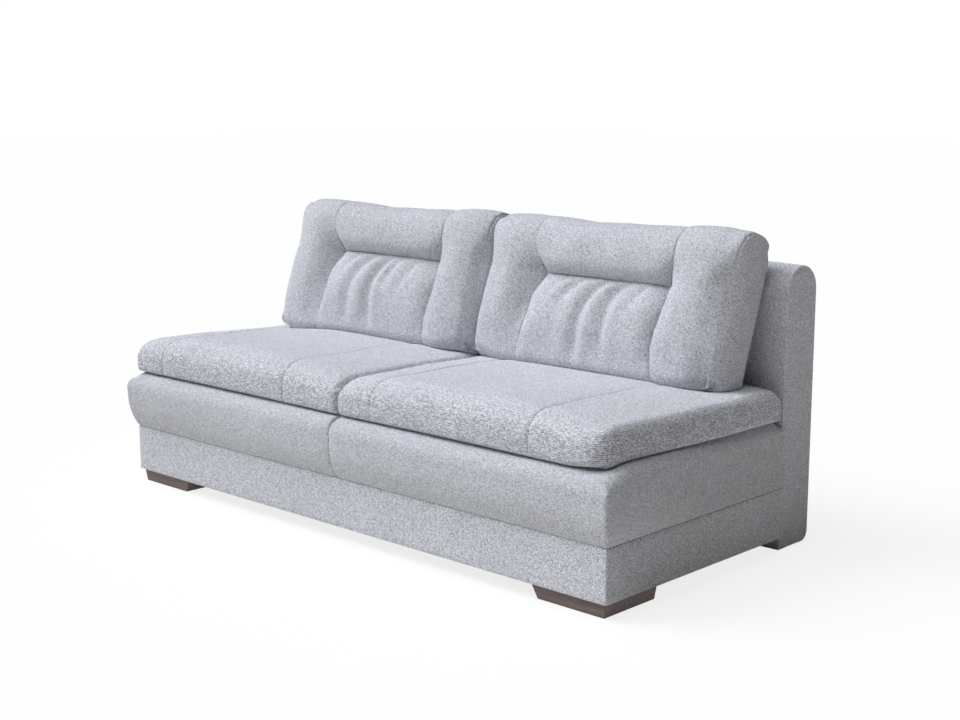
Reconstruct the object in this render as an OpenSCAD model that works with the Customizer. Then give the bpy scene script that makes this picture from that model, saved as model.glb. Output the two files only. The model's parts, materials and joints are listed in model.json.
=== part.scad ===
// Armless two-seat sofa. A boxed seat unit on two front block feet is bolted to a padded
// back slab that stands on the floor, and four loose cushions lie on it.
// Millimetres, +Z up, +X along the length, +Y to the rear. The origin is on the floor
// under the middle of the outline.

/* [Seat unit] */
// Length of the seat unit
unit_l = 1950; // [1700:10:2300]
// Depth of the plinth, front to back
unit_d = 778; // [720:2:860]
// Height of the plinth box
plinth_h = 144; // [120:2:190]
// Height of the padded seat base above the plinth
base_h = 191; // [170:1:230]
// How far the seat base swells out in front of the plinth
base_bulge = 36; // [15:1:55]
// How far the seat base swells out past the plinth's ends, near its front
base_end_bulge = 18; // [0:1:30]

/* [Feet] */
// Height of a block foot
foot_h = 42; // [30:1:70]
// Length of a foot's top face, along the sofa
foot_l = 240; // [200:2:300]
// Depth of a foot's top face, front to back
foot_d = 211; // [190:1:260]
// Distance from the plinth's edge to a foot's top face
foot_inset = 18; // [6:1:24]
// How much nearer the left foot stands to its end of the plinth than the right foot
left_foot_out = 18; // [0:1:18]
// How far a foot's inner side draws in towards the floor
foot_inner_taper = 20; // [4:1:24]
// How far a foot's other sides draw in towards the floor
foot_taper = 5; // [3:1:16]
// Height of a plastic glide under the back slab
glide_h = 4; // [3:0.5:8]
// Diameter of a glide
glide_d = 40; // [28:1:52]

/* [Back slab] */
// Thickness of the back slab
slab_t = 147; // [130:1:180]
// Height of the slab's top above the floor
slab_top = 797; // [740:1:860]
// How much shorter the slab is than the seat unit at each end
slab_inset = 10; // [4:1:30]
// Radius of the slab's lower rear edge
slab_heel_r = 30; // [15:1:40]
// Thickness of the foam wrapped round the back frame
slab_foam_t = 18; // [12:1:22]

/* [Seat cushions] */
// Height of a seat cushion at its upper edge, without the crown
seat_cushion_h = 88; // [80:1:110]
// Rise of the crown in the middle of a seat cushion
seat_crown = 26; // [10:1:34]
// Distance of the left seam from a seat cushion's left end
seat_seam_left = 148; // [120:1:190]
// Distance of the right seam from a seat cushion's right end
seat_seam_right = 240; // [200:1:280]
// Depth of a sewn seam in a seat cushion
seat_seam_depth = 7; // [3:0.5:12]

/* [Back cushions] */
// Length of a back cushion along the sofa
back_cushion_l = 899; // [760:1:950]
// Height of a back cushion along its slope
back_cushion_h = 456; // [420:2:500]
// Thickness of a back cushion at its seams
back_cushion_t = 173; // [150:1:190]
// Lean of a back cushion from the vertical, in degrees
lean = 18.7; // [14:0.1:22]
// Width of a side bolster
bolster_w = 200; // [170:1:230]
// Height of the seam under the headrest, along the slope
headrest_seam = 278; // [255:1:300]
// How far the panels of a back cushion puff out past its seams
back_puff = 20; // [8:1:30]
// Depth of a gathered pleat in the lumbar panel
pleat_depth = 9; // [3:0.5:14]

/* [Frame] */
// Thickness of the frame boards
board_t = 22; // [18:1:27]
// Thickness of the upholstery fabric with its felt
skin_t = 3; // [2:0.5:4]
// Height of the seat rails
seat_rail_h = 118; // [100:1:130]
// Webbing straps under each seat
straps_each = 5; // [3:1:7]
// Width of a webbing strap
strap_w = 70; // [50:1:90]
// Diameter of the joining bolts
bolt_d = 8; // [6:1:10]

/* [Hidden] */

// Overrun of a cut past the face that it opens
cut = 1;
// Air between one loose body and its neighbour
air = 0.6;
// Play of a fill, a screw or a bolt in its place
play = 0.3;
$fn = 48;

// Levels and planes of the seat unit, with Y from the plinth's front face
cloth_t = 0.8;
plinth_z = foot_h + cloth_t;
base_z = plinth_z + plinth_h;
seat_z = base_z + base_h;
half_l = unit_l / 2;
total_d = base_bulge + unit_d + slab_t;
front_y = base_bulge - total_d / 2;
board_x = half_l - skin_t;
hem_t = 1.5;
board_z = plinth_z + hem_t;
board_top = base_z - hem_t;

// Seat base
rail_top = base_z + seat_rail_h;
rail_front = 24;
strap_t = 1.5;
wadding_t = 10;
base_top_r = 50;
base_nose_r = 60;
base_heel_r = 50;
base_corner_r = 25;
base_rear_r = skin_t;
base_end_r = 40;
base_tuck_r = 6;
base_swell_share = 0.565;
swell_reach = 0.8;
nose_drop = 14;
nose_flat = 15;
nose_reach = 100;

// Seat cushion
seat_cushion_front = -2;
seat_rear_gap = 23;
seat_cushion_rear = unit_d - seat_rear_gap;
seat_nose_r = 95;
seat_top_r = 57;
seat_foot_r = 22;
seat_heel_r = 45;
seat_corner_r = 32;
seat_rear_r = 16;
seat_sole_r = 12;
seat_end_r = 26;
seat_end_overhang = 5;
seat_seam_w = 14;
crown_level_y = unit_d * 0.54;
crown_low_y = unit_d * 0.72;
crown_low_share = 0.5;
crown_power = 2.5;
fill_wrap = 22;

// Back cushion
cushion_shift = 7;
cushion_end_r = 40;
cushion_corner_r = 36;
cushion_end_face_r = 46;
cushion_foot_r = 45;
cushion_head_r = 78;
cushion_face_r = 72;
seam_w = 30;
seam_depth = 20;
tuck_depth = 22;
tuck_in = 22;
tuck_reach = 48;
pleat_shares = [0.28, 0.47, 0.72];
lumbar_shares = [0.14, 0.28, 0.38, 0.47, 0.6, 0.72, 0.86];
fill_t = 84;

// Back slab
slab_y = unit_d;
slab_r = slab_t / 2;
slab_x = half_l - slab_inset;
slab_core = skin_t + slab_foam_t;
frame_top = slab_top - slab_r;
// The lower edge of the frame, where its rear panel just clears the cover's round heel
heel_out = max(0, slab_heel_r - slab_core);
frame_z = glide_h + slab_heel_r - sqrt(pow(slab_heel_r - skin_t, 2) - pow(heel_out, 2)) + play;
panel_t = 4;
post_w = 40;
bottom_rail_h = 160;
middle_rail_h = 110;
top_rail_h = 27;

// Joining hardware
bolt_low_z = plinth_z + plinth_h / 2;
bolt_high_z = base_z + seat_rail_h / 2;
bolt_far_share = 0.82;
bolt_near_share = 0.27;
washer_d = 3 * bolt_d;
washer_t = bolt_d / 4;
nut_flange_d = 2.75 * bolt_d;
nut_flange_t = 1.5;
nut_barrel_d = bolt_d + 3;
nut_barrel_l = 1.5 * bolt_d;
bolt_head_y = unit_d - skin_t - board_t - washer_t;
nut_face_y = slab_y + slab_core + panel_t + board_t;

// Foot fixings
screw_d = 5;
screw_head_d = 10;
screw_head_h = 4;
screw_sink = 22;
screw_l = 36;
screw_edge = 55;
plate_t = 18;
plate_l = foot_l + foot_inset - board_t - skin_t;
plate_d = foot_d + foot_inset - board_t - skin_t;

// A point of the row from one counted from the plinth's front face
module unit_frame() {
    translate([0, front_y, 0]) children();
}

// A plain block between two corners
module block(low, high) {
    translate(low) cube(high - low);
}

// The same piece on the left, as seen from the front
module on_left() {
    mirror([1, 0, 0]) children();
}

// A profile in Y and Z, run along X from one place to another
module run_x(from, to) {
    translate([from, 0, 0]) rotate([90, 0, 90]) linear_extrude(to - from) children();
}

// A round bar along +Y
module bar_y(d, l) {
    rotate([-90, 0, 0]) cylinder(d = d, h = l);
}

// Soft forms: a grid is laid over the six faces of a box, and each point is then placed

// Distances from an edge at which rounds of one or two radii are met
function edge_places(radii) = [0, each [for (r = radii) each [r * (1 - tan(22.5)), r]]];

// Stops along one side of a box: the rounds at each end and the places between
function stops(low, high, low_radii, high_radii, between) =
    let (near = edge_places(low_radii), far = edge_places(high_radii))
    concat([for (d = near) low + d], between, [for (i = [len(far) - 1:-1:0]) high - far[i]]);

// Evenly spaced places between two limits, without the limits
function spaced(low, high, count) = [for (i = [1:count]) low + (high - low) * i / (count + 1)];

// Where a point lies in the round at an edge along the third axis: 0 on the flats, up to 1
function edge_share(p, low, high, low_r, high_r) =
    let (heart = max(low + low_r, min(high - high_r, p)))
    (p - heart) / (p < heart ? low_r : high_r);

// Rolls a box's edges between axes a and b, each edge with its own pair of radii. Squares
// round the heart of an edge become circles, so points inside the box follow along.
function rolled(p, a, b, low, high, a_r, b_r) =
    let (d = [edge_share(p[a], low[a], high[a], a_r[0], a_r[1]),
            edge_share(p[b], low[b], high[b], b_r[0], b_r[1])],
        size = norm(d),
        back = size == 0 ? 0 : 1 - max(abs(d[0]), abs(d[1])) / size,
        shift = [d[0] * (d[0] < 0 ? a_r[0] : a_r[1]), d[1] * (d[1] < 0 ? b_r[0] : b_r[1])] * back)
    [for (i = [0:2]) p[i] - (i == a ? shift[0] : i == b ? shift[1] : 0)];

// The direction in which the surface faces, across an edge between axes a and b
function facing_of(p, a, b, low, high, a_r, b_r) =
    let (d = [edge_share(p[a], low[a], high[a], a_r[0], a_r[1]),
            edge_share(p[b], low[b], high[b], b_r[0], b_r[1])])
    norm(d) == 0 ? d : d / norm(d);

// A V-shaped dip, 1 on its line and 0 at its half width
function dip(x, line, w) = max(0, 1 - abs(x - line) / w);

// A smooth bell, 1 on its line
function bell(x, line, reach) = exp(-pow((x - line) / reach, 2));

// A smooth arch, 0 at both ends of its span
function arch(x, low, high) = x <= low || x >= high ? 0 : sin(180 * (x - low) / (high - low));

module soft_block(xs, ys, zs, place) {
    nx = len(xs) - 1;
    ny = len(ys) - 1;
    nz = len(zs) - 1;
    ring = 2 * (nx + ny);
    inner = (nx - 1) * (ny - 1);
    rim_i = [for (p = [0:ring - 1]) p < nx ? p : p < nx + ny ? nx : max(0, 2 * nx + ny - p)];
    rim_j = [for (p = [0:ring - 1]) p < nx ? 0 : min(ny, p - nx, ring - p)];
    spot = function (i, j, k)
        i == 0 || i == nx || j == 0 || j == ny
            ? k * ring + (j == 0 ? i : i == nx ? nx + j : j == ny ? 2 * nx + ny - i : ring - j)
            : (nz + 1) * ring + (k == 0 ? 0 : inner) + (j - 1) * (nx - 1) + i - 1;
    sides = [for (k = [0:nz], p = [0:ring - 1]) place([xs[rim_i[p]], ys[rim_j[p]], zs[k]])];
    caps = [for (k = [0, nz], j = [1:ny - 1], i = [1:nx - 1]) place([xs[i], ys[j], zs[k]])];
    wall = [for (k = [0:nz - 1], p = [0:ring - 1])
        let (a = k * ring + p, b = k * ring + (p + 1) % ring)
        each [[a, b + ring, b], [a, a + ring, b + ring]]];
    under = [for (j = [0:ny - 1], i = [0:nx - 1])
        let (a = spot(i, j, 0), b = spot(i + 1, j, 0), c = spot(i + 1, j + 1, 0), d = spot(i, j + 1, 0))
        each [[a, b, c], [a, c, d]]];
    over = [for (j = [0:ny - 1], i = [0:nx - 1])
        let (a = spot(i, j, nz), b = spot(i + 1, j, nz), c = spot(i + 1, j + 1, nz), d = spot(i, j + 1, nz))
        each [[a, c, b], [a, d, c]]];
    polyhedron(points = concat(sides, caps), faces = concat(wall, under, over));
}

// Feet

// A foot's outer front top corner, at the right (0) or mirrored for the left (1)
module foot_corner(side) {
    translate([half_l - foot_inset + side * left_foot_out, foot_inset, 0]) children();
}

// Places of a foot's four screws
module foot_screw_places(side) {
    foot_corner(side)
        for (x = [screw_edge, foot_l - screw_edge], y = [screw_edge, foot_d - screw_edge])
            translate([-x, y, 0]) children();
}

module foot(side) {
    color([0.29, 0.23, 0.21]) unit_frame() mirror([side, 0, 0]) difference() {
        foot_corner(side) mirror([1, 0, 0]) intersection() {
            translate([0, foot_d, 0]) rotate([90, 0, 0]) linear_extrude(foot_d) polygon([
                [foot_taper, 0], [foot_l - foot_inner_taper, 0], [foot_l, foot_h], [0, foot_h]]);
            run_x(0, foot_l)
                polygon([[foot_taper, 0], [foot_d - foot_taper, 0], [foot_d, foot_h], [0, foot_h]]);
        }
        foot_screw_places(side) {
            translate([0, 0, -cut]) cylinder(d = screw_d + 2 * play, h = foot_h + 2 * cut);
            translate([0, 0, -cut]) cylinder(d = screw_head_d + 2 * play, h = screw_sink + cut);
        }
    }
}

module front_foot_right() {
    foot(0);
}

module front_foot_left() {
    foot(1);
}

module foot_screws() {
    color("silver") unit_frame() for (side = [0, 1]) mirror([side, 0, 0]) foot_screw_places(side)
        translate([0, 0, screw_sink]) {
            cylinder(d = screw_d, h = screw_l - screw_head_h);
            translate([0, 0, -screw_head_h]) cylinder(d = screw_head_d, h = screw_head_h);
        }
}

module rear_glides() {
    places_share = [-0.93, -0.31, 0.31, 0.93];
    color([0.12, 0.12, 0.12]) unit_frame() for (share = places_share)
        translate([slab_x * share, slab_y + slab_r, 0]) cylinder(d = glide_d, h = frame_z - cloth_t);
}

// Plinth

// A fabric panel along the front, hemmed round its board at top and bottom
module cover_panel(l, hem_l) {
    run_x(-l, l) translate([0, plinth_z]) square([skin_t, plinth_h]);
    run_x(-hem_l, hem_l) for (z = [plinth_z, base_z - hem_t])
        translate([skin_t / 2, z]) square([skin_t / 2 + board_t, hem_t]);
}

// Puts a piece that was made along the front at the right end
module to_right_end() {
    translate([half_l, unit_d / 2, 0]) rotate([0, 0, 90]) children();
}

module to_rear() {
    translate([0, unit_d, 0]) mirror([0, 1, 0]) children();
}

// The bores for the joining bolts
module bolt_bores(z, d) {
    for (x = [-bolt_far_share, -bolt_near_share, bolt_near_share, bolt_far_share] * slab_x)
        translate([x, bolt_head_y - cut, z]) bar_y(d, nut_face_y - bolt_head_y + 2 * cut);
}

module both_bolt_rows(d) {
    bolt_bores(bolt_low_z, d);
    bolt_bores(bolt_high_z, d);
}

module plinth_cover_front() {
    color([0.78, 0.8, 0.84]) unit_frame() cover_panel(half_l, board_x);
}

module plinth_cover_rear() {
    color([0.78, 0.8, 0.84]) unit_frame() difference() {
        to_rear() cover_panel(half_l, board_x);
        bolt_bores(bolt_low_z, bolt_d + 2 * play);
    }
}

module side_cover() {
    edge = unit_d / 2 - skin_t;
    color([0.7, 0.72, 0.75]) unit_frame() to_right_end() cover_panel(edge, edge - board_t);
}

module plinth_cover_right() {
    side_cover();
}

module plinth_cover_left() {
    on_left() side_cover();
}

module plinth_front_board() {
    color("burlywood") unit_frame()
        block([-board_x, skin_t, board_z], [board_x, skin_t + board_t, board_top]);
}

module plinth_rear_board() {
    color("burlywood") unit_frame() difference() {
        block([-board_x, unit_d - skin_t - board_t, board_z], [board_x, unit_d - skin_t, board_top]);
        bolt_bores(bolt_low_z, bolt_d + 2 * play);
    }
}

module side_board() {
    color("tan") unit_frame() block([board_x - board_t, skin_t + board_t, board_z],
        [board_x, unit_d - skin_t - board_t, board_top]);
}

module plinth_side_board_right() {
    side_board();
}

module plinth_side_board_left() {
    on_left() side_board();
}

module plinth_cross_rails() {
    rail_share = 1 / 3;
    rail_h = plinth_h - plate_t;
    color("wheat") unit_frame() for (side = [-1, 1])
        translate([side * half_l * rail_share - board_t / 2, skin_t + board_t, board_top - rail_h])
            cube([board_t, unit_d - 2 * (skin_t + board_t), rail_h]);
}

module plinth_corner_blocks() {
    block_w = 45;
    corner = [board_x - board_t, unit_d / 2 - skin_t - board_t];
    base = board_z + plate_t;
    color("wheat") unit_frame() translate([0, unit_d / 2, base])
        for (i = [0, 1], j = [0, 1]) mirror([i, 0, 0]) mirror([0, j, 0])
            linear_extrude(board_top - base)
                polygon([corner, corner - [block_w, 0], corner - [0, block_w]]);
}

module foot_plates() {
    color("peru") unit_frame() for (side = [0, 1]) mirror([side, 0, 0]) difference() {
        block([board_x - board_t - plate_l, skin_t + board_t, plinth_z],
            [board_x - board_t, skin_t + board_t + plate_d, plinth_z + plate_t]);
        foot_screw_places(side) translate([0, 0, plinth_z - cut])
            cylinder(d = screw_d + play, h = plate_t + 2 * cut);
    }
}

module plinth_dust_cloth() {
    color([0.2, 0.2, 0.2]) unit_frame() difference() {
        block([foot_inset - half_l, foot_inset, foot_h],
            [half_l - foot_inset, unit_d - foot_inset, foot_h + cloth_t]);
        for (side = [0, 1]) mirror([side, 0, 0]) foot_screw_places(side)
            translate([0, 0, foot_h - cut]) cylinder(d = screw_d + 2 * play, h = cloth_t + 2 * cut);
    }
}

// Seat base

rail_rear = unit_d - skin_t;
rail_x = half_l - wadding_t;

module seat_front_rail() {
    color("burlywood") unit_frame()
        block([-rail_x, rail_front, base_z], [rail_x, rail_front + board_t, rail_top]);
}

module seat_rear_rail() {
    color("burlywood") unit_frame() difference() {
        block([-rail_x, rail_rear - board_t, base_z], [rail_x, rail_rear, rail_top]);
        bolt_bores(bolt_high_z, bolt_d + 2 * play);
    }
}

module side_rail(x) {
    unit_frame() block([x - board_t, rail_front + board_t, base_z],
        [x, rail_rear - board_t, rail_top]);
}

module seat_side_rail_right() {
    color("tan") side_rail(rail_x);
}

module seat_side_rail_left() {
    color("tan") on_left() side_rail(rail_x);
}

module seat_centre_rail() {
    color("tan") side_rail(board_t / 2);
}

module seat_webbing() {
    bay = rail_x / straps_each;
    color([0.35, 0.32, 0.28]) unit_frame() for (side = [0, 1], i = [0:straps_each - 1])
        mirror([side, 0, 0]) translate([bay * (i + 1 / 2) - strap_w / 2, rail_front, rail_top])
            cube([strap_w, rail_rear - rail_front, strap_t]);
}

// How far the line between the seat base and the cushions sinks at the front
function seat_line_drop(y) =
    nose_drop * (y < nose_flat ? 1 : pow(max(0, 1 - (y - nose_flat) / nose_reach), 2));

// Level at which the front of the base swells out furthest
swell_z = base_z + base_h * base_swell_share;

// A padded half of the seat base, at the right
module base_form() {
    low = [air / 2, -base_bulge, base_z];
    high = [half_l, unit_d, seat_z];
    corner_x = [base_corner_r, base_corner_r];
    corner_y = [base_corner_r, base_rear_r];
    mid = half_l / 2;
    // Below the swell the front and the end draw in, down to the plinth's faces
    place = function (p)
        let (plan = rolled(p, 0, 1, low, high, corner_x, corner_y),
            lower = p[2] < swell_z,
            end_x = lower ? [base_tuck_r, base_tuck_r] : [base_end_r, base_end_r],
            nose_y = lower ? [base_tuck_r, base_tuck_r] : [base_nose_r, base_heel_r],
            ends = rolled(plan, 0, 2, low, high, end_x, [base_tuck_r, base_end_r]),
            spot = rolled(ends, 1, 2, low, high, nose_y, [base_tuck_r, base_top_r]),
            under = max(0, (swell_z - spot[2]) / (swell_z - base_z)),
            swell = sqrt(1 - pow(under, 2)),
            ahead = max(0, 1 - (spot[1] - low[1]) / (unit_d * swell_reach)),
            pull = base_bulge * (1 - swell) * ahead,
            push = base_end_bulge * swell * min(1, ahead * 2) * max(0, spot[0] / mid - 1),
            lift = (spot[2] - base_z) / base_h)
        spot + [push, pull, -lift * seat_line_drop(spot[1])];
    soft_block(
        stops(low[0], high[0], [base_tuck_r, base_end_r], [base_tuck_r, base_end_r],
            spaced(low[0], high[0], 3)),
        stops(low[1], high[1], [base_tuck_r, base_nose_r], [base_tuck_r, base_heel_r],
            [nose_flat + nose_reach / 2, nose_flat + nose_reach, unit_d * swell_reach / 2,
                unit_d * swell_reach]),
        stops(low[2], high[2], [base_tuck_r], [base_top_r],
            [each spaced(base_z + base_tuck_r, swell_z, 2), swell_z]),
        place);
}

// Side view of the foam: it rolls over the front rail and lies on the straps
foam_top = seat_z - wadding_t - nose_drop;
foam_front = wadding_t - base_bulge;
// The foam stays behind the round where the two halves meet
foam_near = base_corner_r * 0.7;
module foam_profile(overrun) {
    polygon([
        [rail_front, base_z - overrun],
        [wadding_t, base_z - overrun],
        [wadding_t, base_z],
        [foam_front, swell_z],
        [foam_front, seat_z - base_top_r - wadding_t],
        [wadding_t, foam_top],
        [unit_d - base_heel_r, foam_top],
        [unit_d - base_heel_r, rail_top + strap_t],
        [rail_front, rail_top + strap_t]]);
}

// The room inside a half's cover for the rails, the straps and the foam
module base_room() {
    block([-cut, rail_front, base_z - cut], [rail_x, rail_rear, rail_top + strap_t]);
    run_x(foam_near, rail_x) foam_profile(cut);
}

module base_cover() {
    color([0.78, 0.8, 0.84]) unit_frame() difference() {
        base_form();
        base_room();
        bolt_bores(bolt_high_z, bolt_d + 2 * play);
    }
}

module base_cover_right() {
    base_cover();
}

module base_cover_left() {
    on_left() base_cover();
}

module base_foam() {
    color([0.95, 0.9, 0.7]) unit_frame() run_x(foam_near + play, rail_x - play) foam_profile(0);
}

module base_foam_right() {
    base_foam();
}

module base_foam_left() {
    on_left() base_foam();
}

// Seat cushions

seat_cushion_low = seat_z + air;
seat_cushion_high = seat_cushion_low + seat_cushion_h;
seat_cushion_x = half_l + seat_end_overhang;

// Share of the crown that is left at a depth, which fades under the back cushions
function crown_share(y) = y < crown_level_y ? 1 : y > crown_low_y ? crown_low_share
    : 1 - (1 - crown_low_share) * (y - crown_level_y) / (crown_low_y - crown_level_y);

// A seat cushion from x = from to x = to, with a seam at each of two places
module seat_cushion_form(from, to, seams) {
    low = [from, seat_cushion_front, seat_cushion_low];
    high = [to, seat_cushion_rear, seat_cushion_high];
    corner_x = [seat_corner_r, seat_corner_r];
    corner_y = [seat_corner_r, seat_rear_r];
    nose_z = [seat_foot_r, seat_top_r];
    mid = (from + to) / 2;
    place = function (p)
        let (lower = p[2] < seat_cushion_low + seat_foot_r,
            end_x = lower ? [seat_sole_r, seat_sole_r] : [seat_end_r, seat_end_r],
            nose_y = [seat_nose_r, lower ? seat_sole_r : seat_heel_r],
            plan = rolled(p, 0, 1, low, high, corner_x, corner_y),
            ends = rolled(plan, 0, 2, low, high, end_x, [seat_foot_r, seat_corner_r]),
            spot = rolled(ends, 1, 2, low, high, nose_y, nose_z),
            face = facing_of(ends, 1, 2, low, high, nose_y, nose_z),
            up = max(0, min(1, (spot[2] - low[2]) / seat_cushion_h)),
            across = min(1, abs(spot[0] - mid) / ((to - from) / 2)),
            crown = seat_crown * (1 - pow(across, crown_power)) * crown_share(spot[1]),
            sewn = seat_seam_depth * max([for (s = seams) dip(spot[0], s, seat_seam_w)]),
            shown = up > 0.2 && spot[1] < seat_cushion_rear - seat_heel_r ? 1 : 0)
        spot + [0, 0, up * crown - (1 - up) * seat_line_drop(spot[1])]
            - shown * sewn * [0, face[0], face[1]];
    soft_block(
        stops(low[0], high[0], [seat_corner_r], [seat_corner_r], [
            (low[0] + seat_corner_r + seams[0]) / 2,
            seams[0] - seat_seam_w, seams[0], seams[0] + seat_seam_w,
            each spaced(seams[0], seams[1], 3),
            seams[1] - seat_seam_w, seams[1], seams[1] + seat_seam_w,
            (high[0] - seat_corner_r + seams[1]) / 2]),
        stops(low[1], high[1], [seat_corner_r, seat_nose_r], [seat_rear_r],
            [(low[1] + seat_nose_r + crown_level_y) / 2, crown_level_y, crown_low_y,
                high[1] - seat_heel_r]),
        stops(low[2], high[2], [seat_foot_r], [seat_top_r], []),
        place);
}

// The room for the foam core
module seat_core_room(from, to, gap) {
    side = fill_wrap + gap;
    flat = fill_wrap / 2;
    block([from + side, seat_cushion_front + seat_nose_r / 2 + gap, seat_cushion_low + flat],
        [to - side, seat_cushion_rear - side, seat_cushion_high - flat - gap]);
}

zip_h = 4;
zip_l_share = 0.8;
zip_y = seat_cushion_rear - fill_wrap;
seat_zip_z = seat_cushion_low + seat_cushion_h * 0.28;

// The zip's slot, or the zip itself
module seat_zip(from, to, reach) {
    inset = (to - from) * (1 - zip_l_share) / 2;
    block([from + inset, zip_y, seat_zip_z], [to - inset, seat_cushion_rear + reach, seat_zip_z + zip_h]);
}

module seat_cover(from, to, seams) {
    color([0.82, 0.84, 0.88]) unit_frame() difference() {
        seat_cushion_form(from, to, seams);
        seat_core_room(from, to, 0);
        translate([0, -cut, 0]) seat_zip(from, to, 2 * cut);
    }
}

module seat_cushion_cover_right() {
    seat_cover(air / 2, seat_cushion_x, [seat_seam_left, seat_cushion_x - seat_seam_right]);
}

module seat_cushion_cover_left() {
    seat_cover(-seat_cushion_x, -air / 2, [seat_seam_left - seat_cushion_x, -seat_seam_right]);
}

module seat_core(from, to) {
    color([0.95, 0.9, 0.7]) unit_frame() seat_core_room(from, to, play);
}

module seat_cushion_core_right() {
    seat_core(air / 2, seat_cushion_x);
}

module seat_cushion_core_left() {
    seat_core(-seat_cushion_x, -air / 2);
}

module seat_cushion_zip_right() {
    color("dimgray") unit_frame() seat_zip(air / 2, seat_cushion_x, 0);
}

module seat_cushion_zip_left() {
    color("dimgray") unit_frame() seat_zip(-seat_cushion_x, -air / 2, 0);
}

// Back cushions: x along the sofa, v up the slope, n out of the front face

// Level on which a back cushion rests at a depth
function rest_level(y) = seat_cushion_high + seat_crown * crown_share(y) + air;

// The pair lies a little right of the middle. The left one gives way there, so that it
// stands on its own seat cushion alone.
cushion_right = cushion_shift + air / 2;
cushion_left = cushion_shift - air / 2 - back_cushion_l;
cushion_left_end = -air / 2;

// The rear face leans on the slab's round top
slab_axis = [0, slab_y + slab_r, frame_top];
slope = [0, sin(lean), cos(lean)];
facing = [0, -cos(lean), sin(lean)];
rear_reach = slab_axis * facing + slab_r + air;
front_reach = rear_reach + back_cushion_t;
// Where the front face meets the seat
foot_z = rest_level(crown_low_y);
foot_y = (sin(lean) * foot_z - front_reach) / cos(lean);

module on_slope() {
    translate([0, foot_y, foot_z]) rotate([90 - lean, 0, 0]) children();
}

function sloped(p) = [p[0], foot_y, foot_z] + p[1] * slope + p[2] * facing;

module back_cushion_form(from, to) {
    low = [from, 0, -back_cushion_t];
    high = [to, back_cushion_h, 0];
    end_x = [cushion_end_r, cushion_end_r];
    corner_v = [cushion_corner_r, cushion_corner_r];
    end_n = [cushion_end_face_r, cushion_end_face_r];
    ends_v = [cushion_foot_r, cushion_head_r];
    face_n = [cushion_face_r, cushion_face_r];
    mid = (from + to) / 2;
    half = (to - from) / 2;
    seam = half - bolster_w;
    place = function (p)
        let (outline = rolled(p, 0, 1, low, high, end_x, corner_v),
            side = rolled(outline, 0, 2, low, high, end_x, end_n),
            spot = rolled(side, 1, 2, low, high, ends_v, face_n),
            x = spot[0] - mid,
            v = spot[1],
            front = max(0, facing_of(side, 1, 2, low, high, ends_v, face_n)[1])
                * max(0, facing_of(outline, 0, 2, low, high, end_x, end_n)[1]),
            tuck = bell(v, headrest_seam, tuck_reach),
            slip = tuck_in * tuck * (abs(x) < seam ? abs(x) / seam : (half - abs(x)) / bolster_w),
            upper = v > headrest_seam,
            across = upper ? arch(v, headrest_seam, back_cushion_h) : arch(v, 0, headrest_seam),
            panel = abs(x) > seam
                ? back_puff * arch(abs(x), seam, half + bolster_w / 2)
                : back_puff * sqrt(arch(x, -seam, seam)) * across,
            sewn = (seam_depth + tuck_depth * tuck) * dip(abs(x), seam, seam_w),
            level = abs(x) < seam ? seam_depth * dip(v, headrest_seam, seam_w) : 0,
            pleat = upper ? 0 : pleat_depth * arch(v, 0, headrest_seam * 1.2)
                * max([for (s = pleat_shares) dip(x, seam * (2 * s - 1), seam_w)]),
            out = front * (panel - max(sewn, level) - pleat),
            put = sloped([mid + x - sign(x) * slip, v, spot[2] + out]))
        [put[0], put[1], max(put[2], rest_level(put[1]))];
    soft_block(
        stops(low[0], high[0], [cushion_end_r], [cushion_end_r], [
            mid - seam - seam_w * 2, mid - seam - seam_w, mid - seam, mid - seam + seam_w,
            each [for (s = lumbar_shares) mid + seam * (2 * s - 1)],
            mid + seam - seam_w, mid + seam, mid + seam + seam_w, mid + seam + seam_w * 2]),
        stops(low[1], high[1], [cushion_foot_r], [cushion_head_r], [
            headrest_seam * 0.4, headrest_seam * 0.62, headrest_seam - seam_w, headrest_seam,
            headrest_seam + seam_w]),
        stops(low[2], high[2], [cushion_face_r], [cushion_face_r], []),
        place);
}

// Room for the fills, measured on the slope. Its lowest corner stays above the seat.
fill_back = fill_wrap - back_cushion_t;
fill_low = (fill_wrap / 2 - fill_back * sin(lean)) / cos(lean);

module fill_room(from, to) {
    on_slope() block([from + 2 * fill_wrap, fill_low, fill_back],
        [to - 2 * fill_wrap, back_cushion_h - 2 * fill_wrap, fill_back + fill_t]);
}

back_zip_v = headrest_seam * 0.5;

// The zip's slot, or the zip itself
module back_zip(from, to, reach) {
    inset = (to - from) * (1 - zip_l_share) / 2;
    on_slope() block([from + inset, back_zip_v, -back_cushion_t - reach],
        [to - inset, back_zip_v + zip_h, fill_back + reach]);
}

module back_cushion_cover(from, to) {
    color([0.8, 0.82, 0.86]) unit_frame() difference() {
        back_cushion_form(from, to);
        fill_room(from, to);
        back_zip(from, to, cut);
    }
}

module back_cushion_cover_right() {
    back_cushion_cover(cushion_right, cushion_right + back_cushion_l);
}

module back_cushion_cover_left() {
    back_cushion_cover(cushion_left, cushion_left_end);
}

bolster_fill_w = bolster_w - 2 * fill_wrap;

module bolster_fills(from, to) {
    color("ivory") unit_frame() on_slope()
        for (x = [from + 2 * fill_wrap, to - 2 * fill_wrap - bolster_fill_w])
            block([x + play, fill_low, fill_back], [x + bolster_fill_w - play,
                back_cushion_h - 2 * fill_wrap - play, fill_back + fill_t - play]);
}

// A fill between the bolsters, from one height on the slope to another
module middle_fill(from, to, low, high) {
    unit_frame() on_slope() block([from + bolster_w + play, low + play, fill_back],
        [to - bolster_w - play, high - play, fill_back + fill_t - play]);
}

module bolster_fills_right() {
    bolster_fills(cushion_right, cushion_right + back_cushion_l);
}

module bolster_fills_left() {
    bolster_fills(cushion_left, cushion_left_end);
}

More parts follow.
